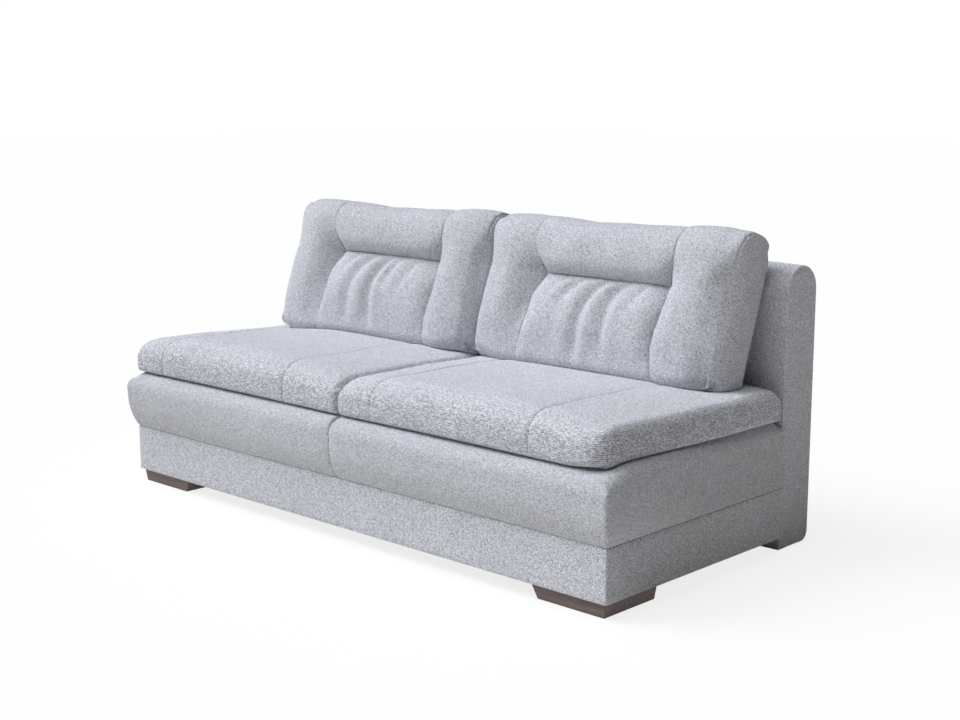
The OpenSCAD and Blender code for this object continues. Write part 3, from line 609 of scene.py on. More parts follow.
def base_blank(low, high):
    """The right half as a box grid with its edges rolled."""
    xs = merge_stops(even(low[0], high[0], 0.012),
                     [low[0] + d for d in (0.0012, 0.003, 0.006, 0.01, 0.016)],
                     [high[0] - d for d in (0.003, 0.006, 0.01, 0.016, 0.024, 0.032)])
    ys = merge_stops(even(low[1], high[1], 0.012),
                     [low[1] + d for d in (0.0012, 0.003, 0.006, 0.01, 0.018)],
                     [high[1] - d for d in (0.0012, 0.003, 0.006)])
    zs = merge_stops(even(low[2], high[2], 0.011), [low[2] + d for d in (0.0007, 0.0022, 0.005)])
    p, quads = box_grid(xs, ys, zs)
    lower, box = p[:, 2] < SWELL_Z, (low, high)
    corner_x = (CREASE_R, BASE_CORNER_R)
    spot = rolled_where(p[:, 0] < HALF_L / 2, p, (0, 1), box, (corner_x, (CREASE_R, BASE_REAR_R)),
                        (corner_x, (BASE_CORNER_R, BASE_REAR_R)))
    tucks, rise = (BASE_TUCK_R,) * 2, (BASE_TUCK_R, BASE_END_R)
    spot = rolled_where(lower, spot, (0, 2), box, (tucks, rise), ((CREASE_R, BASE_END_R), rise))
    rise = (BASE_TUCK_R, BASE_TOP_R)
    spot = rolled_where(lower, spot, (1, 2), box, (tucks, rise), ((BASE_NOSE_R, BASE_HEEL_R), rise))
    return spot, quads


def base_half(side):
    """Half of the padded base, made as the right one and mirrored for the left."""
    word = WORD[side]
    low = np.array([GAP / 2, -BULGE, BASE_Z])
    high = np.array([HALF_L, UNIT_D, SEAT_Z])
    spot, quads = base_blank(low, high)
    under = unit((SWELL_Z - spot[:, 2]) / (SWELL_Z - BASE_Z))
    swell = 1 - under ** SWELL_POWER
    ahead = unit(1 - (spot[:, 1] - low[1]) / (UNIT_D * SWELL_REACH))
    outward = np.maximum(0, spot[:, 0] * 2 / HALF_L - 1)
    to_end = ramp(spot[:, 0], HALF_L - BULGE_END_REACH, HALF_L)
    lift = (spot[:, 2] - BASE_Z) / BASE_H
    q = spot.copy()
    q[:, 0] += END_BULGE[word] * swell * np.minimum(1, ahead * 2) * outward
    q[:, 1] += BULGE * (1 - swell) * ahead
    q[:, 1] += (BULGE - BULGE_AT_END) * swell * ahead * to_end
    q[:, 2] -= lift * seat_line_drop(spot[:, 1])
    # the padding fills out a little between the crease and the end
    n = normals_of(q, quads)
    ripple = BASE_RIPPLE * noise3(q, BASE_RIPPLE_SIZE, 5 if side > 0 else 6)
    ripple *= ramp(q[:, 2], BASE_Z + 0.01, BASE_Z + 0.05)
    ripple *= unit(-n[:, 1]) + unit(n[:, 0])
    q += n * ripple[:, None]
    # beside the crease the fabric is drawn in softly
    crease = bell(q[:, 0], CREASE_REACH) * unit(-n[:, 1]) * ramp(q[:, 2], BASE_Z, BASE_Z + 0.06)
    q[:, 1] += CREASE_DRAW * crease
    if side < 0:
        q[:, 0] *= -1
        quads = quads[:, ::-1]
    o = make_object("base_half_" + word, to_row(q), quads)
    subdivide(o)
    dress(o, mat_base, "root", "base_fabric", "base_cover_" + word)


# seat cushions

# how far in from its two ends each cushion's seams lie
SEAT_SEAMS = {"left": (0.153, 0.236), "right": (0.144, 0.24)}
SEAT_CORNER_R, SEAT_PULLED_R, SEAT_REAR_R, SEAT_SOLE_R = 0.024, 0.06, 0.016, 0.01
SEAT_END_R, SEAT_FOOT_R, SEAT_EDGE_R = 0.028, 0.022, 0.034
SEAT_NOSE_R, SEAT_HEEL_R, SEAT_TOP_R = 0.078, 0.045, 0.048
SEAT_LIP_R, SEAT_LIP_H = 0.032, 0.012
SEAT_TAPER, SEAT_TAPER_REACH = 0.024, 0.5
SEAT_DROOP, SEAT_DROOP_REACH = 0.018, 0.45
SEAT_DROOP_START, SEAT_DROOP_DEPTH = 0.08, 0.45
SEAT_STEP, SEAT_RISE_STEP = 0.0095, 0.008
SEAT_EDGE_STOPS = (0.002, 0.005, 0.01, 0.016)
CROWN_POWER = 2.5
SEAT_GROOVE, SEAT_GROOVE_W, SEAT_BED, SEAT_BED_W = 0.0034, 0.0018, 0.0009, 0.016
SEAT_PUCKER, SEAT_DENT, SEAT_DENT_SIZE = 0.0008, 0.0014, 0.24


def crown_share(y):
    """The crown is halved where the back cushions press on it."""
    return 1 - 0.5 * ramp(y, 0.42, 0.56)


def drawn_in(side, low, high, q):
    """The right cushion narrows to the front; the left one's end droops to the rear."""
    out = q.copy()
    if side > 0:
        toward = 1 - smooth(q[:, 1] / SEAT_TAPER_REACH)
        out[:, 0] -= SEAT_TAPER * toward * (q[:, 0] - low[0]) / (high[0] - low[0])
    else:
        up = unit((q[:, 2] - low[2]) / CUSHION_H)
        from_end = (q[:, 0] - low[0]) / SEAT_DROOP_REACH
        to_rear = unit((q[:, 1] - SEAT_DROOP_START) / SEAT_DROOP_DEPTH)
        out[:, 2] -= SEAT_DROOP * up * to_rear * (1 - smooth(from_end))
    return out


def seat_core(side, low, high):
    """The foam block inside, which follows the cover where that is drawn in."""
    word = WORD[side]
    name = "seat_cushion_core_" + word
    block = frame["nodes"][name]
    spots = np.array([block.matrix_world @ v.co for v in block.data.vertices])
    spots[:, 1] -= FRONT_Y
    stops = [np.array(even(spots[:, k].min(), spots[:, k].max(), 0.05)) for k in range(3)]
    p, quads = box_grid(*stops)
    o = make_object("seat_foam_" + word, to_row(drawn_in(side, low, high, p)), quads, False)
    dress(o, SLOT_MATERIALS["foam"], "seat_" + word, "foam", name)


def seat_blank(side, low, high, seams):
    """A cushion's grid, and the same with its edges rolled."""
    mid = (low[0] + high[0]) / 2
    xs = merge_stops(spread((low[0], high[0]), seams, SEAT_STEP),
                     near_ends(low[0], high[0], SEAT_EDGE_STOPS))
    ys = merge_stops(even(low[1], high[1], SEAT_STEP), [high[1] - d for d in SEAT_EDGE_STOPS])
    zs = merge_stops(even(low[2], high[2], SEAT_RISE_STEP), [low[2] + d for d in (0.002, 0.005)])
    p, quads = box_grid(xs, ys, zs)
    lower, box = p[:, 2] < low[2] + SEAT_FOOT_R, (low, high)
    # the front corner at the sofa's right end is drawn in
    pulled = (side > 0) & (p[:, 0] > mid) & (p[:, 1] < SEAT_REAR / 2)
    corner = np.where(pulled, SEAT_PULLED_R, SEAT_CORNER_R)
    spot = rolled(p, 0, 1, low, high, (SEAT_CORNER_R, corner), (corner, SEAT_REAR_R))
    rise = (SEAT_FOOT_R, SEAT_EDGE_R)
    spot = rolled_where(lower, spot, (0, 2), box, ((SEAT_SOLE_R,) * 2, rise),
                        ((SEAT_END_R,) * 2, rise))
    # and the lip under the nose turns up round it
    lifted = (side > 0) * ramp(p[:, 0], high[0] - 0.13, high[0] - 0.02)
    lip_r = SEAT_LIP_R + (SEAT_NOSE_R - SEAT_LIP_R) * lifted
    lip_h = SEAT_LIP_H + (SEAT_FOOT_R - SEAT_LIP_H) * lifted
    rise = (lip_h, SEAT_TOP_R)
    spot = rolled_where(lower, spot, (1, 2), box, ((lip_r, SEAT_SOLE_R), rise),
                        ((SEAT_NOSE_R, SEAT_HEEL_R), rise))
    return p, quads, spot


def seat_cushion(side):
    word = WORD[side]
    low = np.array([GAP / 2 if side > 0 else -SEAT_END, -0.002, CUSHION_LOW])
    high = np.array([SEAT_END if side > 0 else -GAP / 2, SEAT_REAR, CUSHION_LOW + CUSHION_H])
    mid, half = (low[0] + high[0]) / 2, (high[0] - low[0]) / 2
    seams = (low[0] + SEAT_SEAMS[word][0], high[0] - SEAT_SEAMS[word][1])
    p, quads, spot = seat_blank(side, low, high, seams)
    up = unit((spot[:, 2] - low[2]) / CUSHION_H)
    across = unit(np.abs(spot[:, 0] - mid) / half)
    q = spot.copy()
    q[:, 2] += up * CROWN * (1 - across ** CROWN_POWER) * crown_share(spot[:, 1])
    q[:, 2] -= (1 - up) * seat_line_drop(spot[:, 1])
    q = drawn_in(side, low, high, q)
    n = normals_of(q, quads)
    # seams over the top, the nose and the heel: a fine groove in a shallow bed
    shown = ramp(up, 0.02, 0.16)
    beside = np.minimum(np.abs(p[:, 0] - seams[0]), np.abs(p[:, 0] - seams[1]))
    groove = np.exp(-beside / SEAT_GROOVE_W)
    q -= n * (shown * (SEAT_GROOVE * groove + SEAT_BED * bell(beside, SEAT_BED_W)))[:, None]
    o = make_object("seat_pad_" + word, to_row(q), quads)
    pins = unit(groove * 1.2) * (up > 0.02)
    pins = np.maximum(pins, (up <= 0.02) * 1.0)
    pins[pins < LEAST_PIN] = 0
    puff(o, pins, 0.6, 0.0012, -0.001)
    q = read_points(o)
    n = normals_of(q, quads)
    # soft dents of use, and short puckers beside the seams
    pucker = SEAT_PUCKER * noise1(q[:, 1] * 190, 11 + side) * np.exp(-beside / 0.015) * shown
    dents = SEAT_DENT * noise3(q, SEAT_DENT_SIZE, 20 + side) * shown
    q += n * (pucker + dents)[:, None]
    q[:, 2] = np.maximum(q[:, 2], CUSHION_LOW - seat_line_drop(q[:, 1] - FRONT_Y))
    inner = GAP / 2
    q[:, 0] = np.maximum(q[:, 0], inner) if side > 0 else np.minimum(q[:, 0], -inner)
    write_points(o, q)
    subdivide(o)
    dress(o, mat_seat, "seat_" + word, "cushion_fabric", "seat_cushion_cover_" + word)
    seat_core(side, low, high)
    return o


# back cushions

SLOPE = np.array([0.0, math.sin(LEAN), math.cos(LEAN)])
FACING = np.array([0.0, -math.cos(LEAN), math.sin(LEAN)])
SLAB_R = SLAB_T / 2
SLAB_AXIS = np.array([0.0, UNIT_D + SLAB_R, SLAB_TOP - SLAB_R])
REAR_REACH = SLAB_AXIS @ FACING + SLAB_R + GAP
FRONT_REACH = REAR_REACH + BACK_T
FOOT_Z = CUSHION_LOW + CUSHION_H + CROWN * 0.5 + GAP
FOOT_Y = (math.sin(LEAN) * FOOT_Z - FRONT_REACH) / math.cos(LEAN)

# the middle of each gathered panel, and its folds: (height on the slope, place across) of
# each valley, then its depth and width
PANEL_MID = {"left": -0.4428, "right": 0.4568}
FOLDS = {
    "left": [
        ([(0.266, 0.03), (0.25, 0.02), (0.22, 0.000), (0.176, -0.014), (0.125, -0.012),
          (0.04, 0.008)], 0.0125, 0.017),
        ([(0.266, -0.046), (0.25, -0.066), (0.213, -0.095), (0.167, -0.11), (0.11, -0.107),
          (0.045, -0.098)], 0.0095, 0.02),
        ([(0.268, 0.172), (0.254, 0.15), (0.206, 0.126), (0.16, 0.112)], 0.0065, 0.018),
        ([(0.27, 0.082), (0.25, 0.068), (0.215, 0.052), (0.17, 0.046)], 0.006, 0.014),
        ([(0.27, -0.12), (0.24, -0.15), (0.2, -0.17)], 0.005, 0.016),
    ],
    "right": [
        ([(0.272, 0.036), (0.262, 0.017), (0.239, -0.006), (0.204, -0.026), (0.153, -0.034),
          (0.093, -0.033), (0.03, -0.03)], 0.0125, 0.018),
        ([(0.274, 0.12), (0.27, 0.103), (0.235, 0.076), (0.193, 0.062), (0.149, 0.063),
          (0.06, 0.07)], 0.009, 0.019),
        ([(0.272, -0.055), (0.266, -0.07), (0.227, -0.105), (0.18, -0.122)], 0.008, 0.016),
        ([(0.272, 0.196), (0.262, 0.18), (0.236, 0.16), (0.2, 0.146)], 0.006, 0.016),
        ([(0.272, -0.14), (0.25, -0.16), (0.21, -0.178)], 0.0045, 0.014),
    ],
}
# short darts in the top of a headrest, as the folds are given
DARTS = {
    "left": ([(0.412, 0.076), (0.393, 0.062)], 0.003, 0.005),
    "right": ([(0.45, -0.01), (0.42, -0.042)], 0.0035, 0.005),
}
BACK_END_R, BACK_FRONT_R, BACK_BROW_R, BACK_REAR_R = 0.04, 0.05, 0.022, 0.046
BACK_CORNER_R, BACK_FOOT_R, BACK_HEAD_R, BACK_FACE_R = 0.036, 0.045, 0.078, 0.072
BACK_EAR_R, BACK_LOW_R = 0.018, 0.055
BACK_TURN_R, BACK_TURN_N = 0.1, 0.076
FOOT_ROLL_V, FOOT_ROLL_N = 0.026, 0.042
BACK_STEP, BACK_RISE_STEP = 0.0085, 0.0082
# between these heights the rounded edge of the face gives way to a crisp brow
BROW = (0.28, 0.42)
# how far the right-hand seam is shifted, and bowed towards the middle below the headrest
SEAM_SHIFT = {"left": 0.016, "right": 0.0}
SEAM_BOW = {"left": 0.016, "right": 0.032}
# how far the head's line sags: places across, from end to end, and the sag at each
HEAD_SAG = {
    "left": ((-1.0, -0.84, -0.48, -0.12, 0.25, 0.63, 0.9, 1.0),
             (0.001, 0.004, 0.008, 0.015, 0.0145, 0.009, 0.001, 0.0)),
    "right": ((-1.0, -0.7, -0.5, -0.2, 0.2, 0.45, 0.63, 0.85, 1.0),
              (0.002, 0.0035, 0.005, 0.0095, 0.01, 0.008, 0.005, 0.0, 0.0)),
}
# how far the left cushion's outer end bulges: heights, and the bulge at each
END_SWELL = ((0.0, 0.07, 0.13, 0.19, 0.25, 0.31, 0.38),
             (0.004, 0.012, 0.0165, 0.0165, 0.0145, 0.011, 0.0))
END_DROOP = 0.018
# the upright seams sink, and a tuck draws in where they meet the level one
SINK, TUCK, TUCK_REACH, TUCK_SHIFT = 0.037, 0.024, 0.048, 0.02
FACE_LEVEL, BOLSTER_RISE, HEADREST_RISE, LUMBAR_RISE = 0.017, 0.02, 0.0155, 0.014
BOLSTER_FALL, FOOT_FALL, FOOT_FALL_H = 0.023, 0.014, 0.13
SEAM_W, LEVEL_SEAM_W, END_SEAM_DEPTH = 0.0024, 0.003, 0.0042
LEVEL_SEAM_DEPTH, SEAM_DEPTH, TIGHT_DEPTH = 0.0055, 0.001, 0.0068
LAP, LEVEL_LAP = 0.01, 0.009
FAN, CREASE, PLUMP, PLUMP_SIZE = 0.0022, 0.0014, 0.0016, 0.15
# the cushion gives way to what it rests on over this height
SLACK_H = 0.022


def fold_line(x, v, line):
    """Distance from a fold's line, to the right of it, and the heights at its two ends."""
    heights = np.array([a for a, _ in line])[::-1]
    places = np.array([b for _, b in line])[::-1]
    return x - np.interp(v, heights, places), heights[0], heights[-1]


def resting_height(tree, spot):
    """Height at which a point clears the seat below it."""
    hit = tree.ray_cast(Vector((spot[0], spot[1], 0.7)), Vector((0, 0, -1)))
    return hit[0].z + GAP if hit[0] is not None else -1.0


def back_edges(side, p, low, high, mid, half):
    """Rolls the edges: a crisp brow and ears, a soft foot, a wide turn at the sofa's right end."""
    box, rightward, lower = (low, high), p[:, 0] > mid, p[:, 1] < BACK_H / 2
    spot = rolled_where(rightward & (p[:, 1] > BACK_H / 2), p, (0, 1), box,
                        ((BACK_EAR_R,) * 2,) * 2, ((BACK_END_R,) * 2, (BACK_CORNER_R,) * 2))
    loose = ((side < 0) & (p[:, 0] < mid) & lower)[:, None]
    spot = np.where(loose, rolled(p, 0, 1, low, high, (BACK_LOW_R,) * 2, (BACK_LOW_R,) * 2), spot)
    brow = ramp(p[:, 1], *BROW)
    front_r = BACK_FRONT_R + (BACK_BROW_R - BACK_FRONT_R) * brow
    turn_r = turn_n = front_r
    if side > 0:
        turn_r = BACK_TURN_R + (BACK_BROW_R - BACK_TURN_R) * brow
        turn_n = np.where(rightward, BACK_TURN_N + (BACK_BROW_R - BACK_TURN_N) * brow, front_r)
    faces = (BACK_REAR_R, turn_n)
    spot = rolled_where(p[:, 2] < -BACK_T / 2, spot, (0, 2), box, ((BACK_END_R,) * 2, faces),
                        ((front_r, turn_r), faces))
    to_end = ramp(np.abs(p[:, 0] - mid), half - 0.15, half - 0.04)
    foot_v = FOOT_ROLL_V + (BACK_FOOT_R - FOOT_ROLL_V) * to_end
    foot_n = FOOT_ROLL_N + (BACK_FACE_R - FOOT_ROLL_N) * to_end
    return rolled_where(lower & (p[:, 2] > -BACK_T / 2), spot, (1, 2), box,
                        ((foot_v, BACK_HEAD_R), (BACK_FACE_R, foot_n)),
                        ((BACK_FOOT_R, BACK_HEAD_R), (BACK_FACE_R,) * 2))


def back_blank(side):
    """A cushion laid flat, and for each point its place beside the seams and how it faces."""
    word = WORD[side]
    start, stop = BACK_ENDS[word]
    low, high = np.array([start, 0.0, -BACK_T]), np.array([stop, BACK_H, 0.0])
    mid, half = (start + stop) / 2, (stop - start) / 2
    seam = half - BOLSTER
    xs = merge_stops(spread((low[0], high[0]), (mid - seam, mid + seam), BACK_STEP),
                     near_ends(low[0], high[0], CLOSE_STOPS))
    ys = merge_stops(spread((low[1], high[1]), (HEAD_SEAM,), BACK_RISE_STEP),
                     [high[1] - d for d in CLOSE_STOPS])
    zs = merge_stops(even(low[2], high[2], BACK_STEP), near_ends(low[2], high[2], CLOSE_STOPS))
    p, quads = box_grid(xs, ys, zs)
    spot = back_edges(side, p, low, high, mid, half)
    n = normals_of(spot, quads)
    x, v = p[:, 0] - mid, p[:, 1]
    s, above = np.abs(x), v - HEAD_SEAM
    c = SimpleNamespace(side=side, word=word, low=low, high=high, half=half,
                        seam=seam, p=p, quads=quads, spot=spot, n=n, x=x, v=v, s=s, above=above)
    # the relief of the panels fades where the face turns away, at the head, foot and ends
    c.shown = unit(n[:, 2]) ** 0.8
    c.over = (above > 0) * ramp(n[:, 1], 0.1, 0.5) * ramp(spot[:, 2], -0.165, -0.12)
    c.end_off = ramp(half - s, 0.0, np.where((side > 0) & (x > 0), 0.09, 0.05))
    c.beyond = unit((s - seam) / BOLSTER)
    c.within = unit(1 - s / seam)
    c.on_bolster = s > seam
    # the right-hand seams are drawn tight all the way, the left-hand ones fade at both ends
    c.tight = np.where(x > 0, 1.0, 0.05 + 0.95 * bell(v - 0.2, 0.085))
    c.tuck = bell(above, TUCK_REACH)
    return c


def sewing(c):
    """The seams: how near they are, how deep they cut in, and those round the end panels."""
    line = np.exp(-np.abs(c.s - c.seam) / SEAM_W)
    level_line = np.where(c.s < c.seam + 0.002, np.exp(-np.abs(c.above) / LEVEL_SEAM_W), 0)
    c.groove = np.maximum(line, level_line)
    c.cut = np.where(np.abs(c.above) < 0.004, LEVEL_SEAM_DEPTH, SEAM_DEPTH + TIGHT_DEPTH * c.tight)
    c.cut = np.where(c.x < 0, c.cut * ramp(c.v, 0.03, 0.09), c.cut)
    ends = c.half - c.s
    rim = np.minimum(np.maximum(ends, c.high[1] - c.v), np.maximum(ends, c.p[:, 2] - c.low[2]))
    sewn = np.exp(-rim / SEAM_W)
    brow = np.exp(-np.maximum(ends, c.high[2] - c.p[:, 2]) / SEAM_W) * ramp(c.v, 0.3, 0.38)
    c.sewn = np.maximum(sewn, 0.7 * brow)


def panel_relief(c):
    """The panels stand proud and the seams between them sink: height over the flat face."""
    above, on_bolster = c.above, c.on_bolster
    # the upright seams sink most at the tuck, least at the foot and the head
    fade = np.where(c.x > 0, 0.04, 0.026)
    c.sink = np.where(above > 0, 0.08 + 0.92 * np.exp(-(np.maximum(above, 0) / fade) ** 1.25),
                      0.2 + 0.8 * ramp(c.v, 0.0, 0.2))
    hollow = np.where(c.x > 0, unit(1 - c.beyond / 0.38) ** 2.3, 1 - smooth(c.beyond / 0.46))
    flank = np.where(on_bolster, hollow, unit(1 - c.within / 0.26) ** 2.0)
    level = np.where(above > 0, unit(1 - above / 0.055) ** 2.2, unit(1 + above / 0.2) ** 2.2)
    level = np.where(on_bolster, 0, level)
    dip = 1 - (1 - flank * c.sink) * (1 - level)
    fall = BOLSTER_FALL * unit((c.beyond - 0.22) / 0.78) ** 1.8
    crest = np.where(on_bolster, HEADREST_RISE + (BOLSTER_RISE - HEADREST_RISE) * c.tight - fall,
                     np.where(above > 0, HEADREST_RISE, LUMBAR_RISE))
    crest = FACE_LEVEL + (crest - FACE_LEVEL) * (1 - dip)
    pull = np.where(on_bolster, unit(1 - c.beyond / 0.45),
                    0.35 + 0.65 * unit(1 - c.within / 0.35)) ** 1.5
    h = (crest - SINK * dip) * c.end_off - TUCK * c.tuck * pull
    # the face draws back gently towards the foot
    h -= FOOT_FALL * (1 - smooth(c.v / FOOT_FALL_H))
    return h - c.cut * c.groove


def drawn_out(c, q):
    """Shifts seams, head and outer end to where the cushion was pulled, and laps the panels."""
    x, v, s, seam, half = c.x, c.v, c.s, c.seam, c.half
    inward = np.where(s < seam, s / seam, unit((half - s) / BOLSTER))
    q[:, 0] -= np.sign(x) * TUCK_SHIFT * c.tuck * c.shown * inward
    share = np.where(s < seam, s / seam, (half - s) / BOLSTER) * (x > 0)
    share *= ramp(c.spot[:, 2], -0.165, -0.1)
    q[:, 0] += share * (SEAM_SHIFT[c.word] - SEAM_BOW[c.word] * arch(v, 0.0, HEAD_SEAM))
    # the headrest's top lies a little lower than the bolsters'
    q[:, 1] -= np.interp(x / half, *HEAD_SAG[c.word]) * ramp(v, 0.33, 0.45)
    if c.side < 0:
        q[:, 0] -= np.interp(v, *END_SWELL) * unit(-c.n[:, 0])
        q[:, 1] -= END_DROOP * ramp(-x, half - 0.3, half - 0.03) * (1 - smooth(v / 0.2))
    # stuffed panels bulge over their seams
    lap = np.where(c.on_bolster, arch(s - seam, 0, 0.075), -0.6 * arch(seam - s, 0, 0.06))
    q[:, 0] -= np.sign(x) * LAP * lap * np.maximum(c.sink, 0.3 * c.on_bolster) * c.shown
    drop = np.where(c.above > 0, -arch(c.above, 0, 0.06), 0.6 * arch(-c.above, 0, 0.06))
    q[:, 1] += LEVEL_LAP * drop * c.shown * ramp(seam - s, 0.0, 0.05)


def on_slope(q):
    """A cushion laid flat, stood up on the seat and leant back."""
    foot = np.array([FOOT_Y, FOOT_Z])[:, None]
    return np.stack([q[:, 0], *(foot + SLOPE[1:, None] * q[:, 1] + FACING[1:, None] * q[:, 2])], axis=1)


def back_pins(c):
    """Where the cloth is held while it swells: seams, rear and foot."""
    pins = unit(c.groove * 1.3) * ((c.shown > 0.3) | (c.over > 0.5))
    pins = np.maximum(pins, c.sewn)
    pins[pins < LEAST_PIN] = 0
    pins = np.maximum(pins, c.n[:, 2] < -0.6)
    return np.maximum(pins, 1 - ramp(c.v, 0.035, 0.1))


def gather(c, q, n):
    """Folds below the level seam, each a valley between two soft ridges, and a short dart above."""
    v, above = c.v, c.above
    gathered = (c.s < c.seam - 0.01) * (above < 0) * c.shown
    from_mid = c.p[:, 0] - PANEL_MID[c.word]
    for line, depth, width in FOLDS[c.word]:
        d, foot, _ = fold_line(from_mid, v, line)
        along = ramp(v, foot - 0.03, foot + 0.06) * ramp(-above, 0.003, 0.035)
        valley = np.exp(-(d / np.where(d > 0, width * 0.75, width * 1.25)) ** 2)
        ridge = bell(d + width * 2.3, width * 1.5) * 0.45 + bell(d - width * 1.9, width) * 0.35
        q += n * (depth * along * (ridge - valley) * gathered)[:, None]
    line, depth, width = DARTS[c.word]
    d, foot, top = fold_line(from_mid, v, line)
    dart = depth * bell(d, width) * ramp(v, foot - 0.01, foot + 0.01) * ramp(top + 0.01 - v, 0.0, 0.02)
    q -= n * (dart * np.maximum(c.shown, c.over))[:, None]


def crumple(c, q, n):
    """Small creases that fan out from the seams, and uneven plumpness between them."""
    off_seam = (1 - c.groove) * c.shown
    fan = noise1(c.x * 150 + c.above * 260, 31 + c.side) * bell(c.above, 0.04)
    q += n * (FAN * fan * (c.above < 0) * (c.s < c.seam - 0.008) * off_seam)[:, None]
    crease = noise1(c.v * 120, 41 + c.side) * np.exp(-np.abs(c.s - c.seam) / 0.03) * off_seam
    q += n * (CREASE * crease)[:, None]
    q += n * (PLUMP * noise3(q, PLUMP_SIZE, 50 + c.side) * off_seam)[:, None]


def settle(c, q, n, seat):
    """Rests the foot on the seat, with its two corners left round, and the back on the slab."""
    tree = BVHTree.FromObject(seat, bpy.context.evaluated_depsgraph_get())
    settled = ramp(c.half - c.s, 0.03, 0.11)
    for k in np.where((c.v < 0.12) | (q[:, 2] < 0.54))[0]:
        rest_z = resting_height(tree, q[k])
        above_seat = max(q[k, 2] - rest_z, 0.0)
        slack = ramp(-n[k, 2], 0.35, 0.85) * (1 - smooth(above_seat / SLACK_H)) * settled[k]
        q[k, 2] = rest_z + above_seat * (1 - slack)
    axis = SLAB_AXIS + [0, FRONT_Y, 0]
    dy, dz = q[:, 1] - axis[1], q[:, 2] - axis[2]
    far = np.hypot(dy, dz)
    near = (far < SLAB_R + GAP) & (dz > 0)
    q[near, 1] = axis[1] + dy[near] / far[near] * (SLAB_R + GAP)
    q[near, 2] = axis[2] + dz[near] / far[near] * (SLAB_R + GAP)
    q[dz <= 0, 1] = np.minimum(q[dz <= 0, 1], FRONT_Y + UNIT_D - GAP)
    q[:, 0] = np.maximum(q[:, 0], c.low[0]) if c.side > 0 else np.minimum(q[:, 0], c.high[0])


def back_cushion(side, seat):
    c = back_blank(side)
    sewing(c)
    h = panel_relief(c)
    # at the head the right bolster stands a little above the headrest
    head = c.over * (0.0015 * c.on_bolster * c.end_off * (c.x > 0) - 0.6 * c.cut * c.groove)
    q = c.spot + c.n * (h * c.shown + head - END_SEAM_DEPTH * c.sewn)[:, None]
    drawn_out(c, q)
    o = make_object("back_pad_" + c.word, to_row(on_slope(q)), c.quads)
    puff(o, back_pins(c), 1.3, 0.008, -0.006)
    q = read_points(o)
    n = normals_of(q, c.quads)
    gather(c, q, n)
    crumple(c, q, n)
    settle(c, q, n, seat)
    write_points(o, q)
    subdivide(o)
    dress(o, mat_back, "back_" + c.word, "cushion_fabric", "back_cushion_cover_" + c.word)


# back slab

# the edge turns over a small radius, with the seam sunk just inside the end panel
SLAB_EDGE_R = 0.0055
SLAB_SEAM_DIP, SLAB_SEAM_IN, SLAB_SEAM_W = 0.0012, 0.0085, 0.0016
# the foam gives a little at the two top corners
SLAB_SAG, SLAB_SAG_REACH = 0.0022, 0.1
SLAB_EDGE_STOPS = (0.001, 0.002, 0.0035, 0.0055, 0.008, 0.011, 0.016, 0.022, 0.035, 0.05, 0.07)
# rings of an end panel, as shares of its outline, and the one that is sunk
PANEL_RINGS, PANEL_SEAM = (0.985, 0.955, 0.93, 0.8, 0.5, 0.2, 0.0), 0.955


def slab_profile(y0, y1, z0, z1):
    """The slab's outline seen from its end: up the front, over the top, down the rear."""
    out = [(y0, z0 + t) for t in (0.0, 0.001, 0.003)]
    out += [(y0, z) for z in np.linspace(z0 + 0.012, z1 - SLAB_R, 26)]
    out += [(y0 + SLAB_R - SLAB_R * math.cos(a), z1 - SLAB_R + SLAB_R * math.sin(a))
            for a in np.linspace(0, math.pi, 33)[1:]]
    out += [(y1, z) for z in np.linspace(z1 - SLAB_R, z0 + SLAB_HEEL, 26)[1:]]
    out += [(y1 - SLAB_HEEL + SLAB_HEEL * math.cos(a), z0 + SLAB_HEEL - SLAB_HEEL * math.sin(a))
            for a in np.linspace(0, math.pi / 2, 9)[1:]]
    out += [(y, z0) for y in np.linspace(y1 - SLAB_HEEL, y0, 8)[1:-1]]
    return np.array(out)


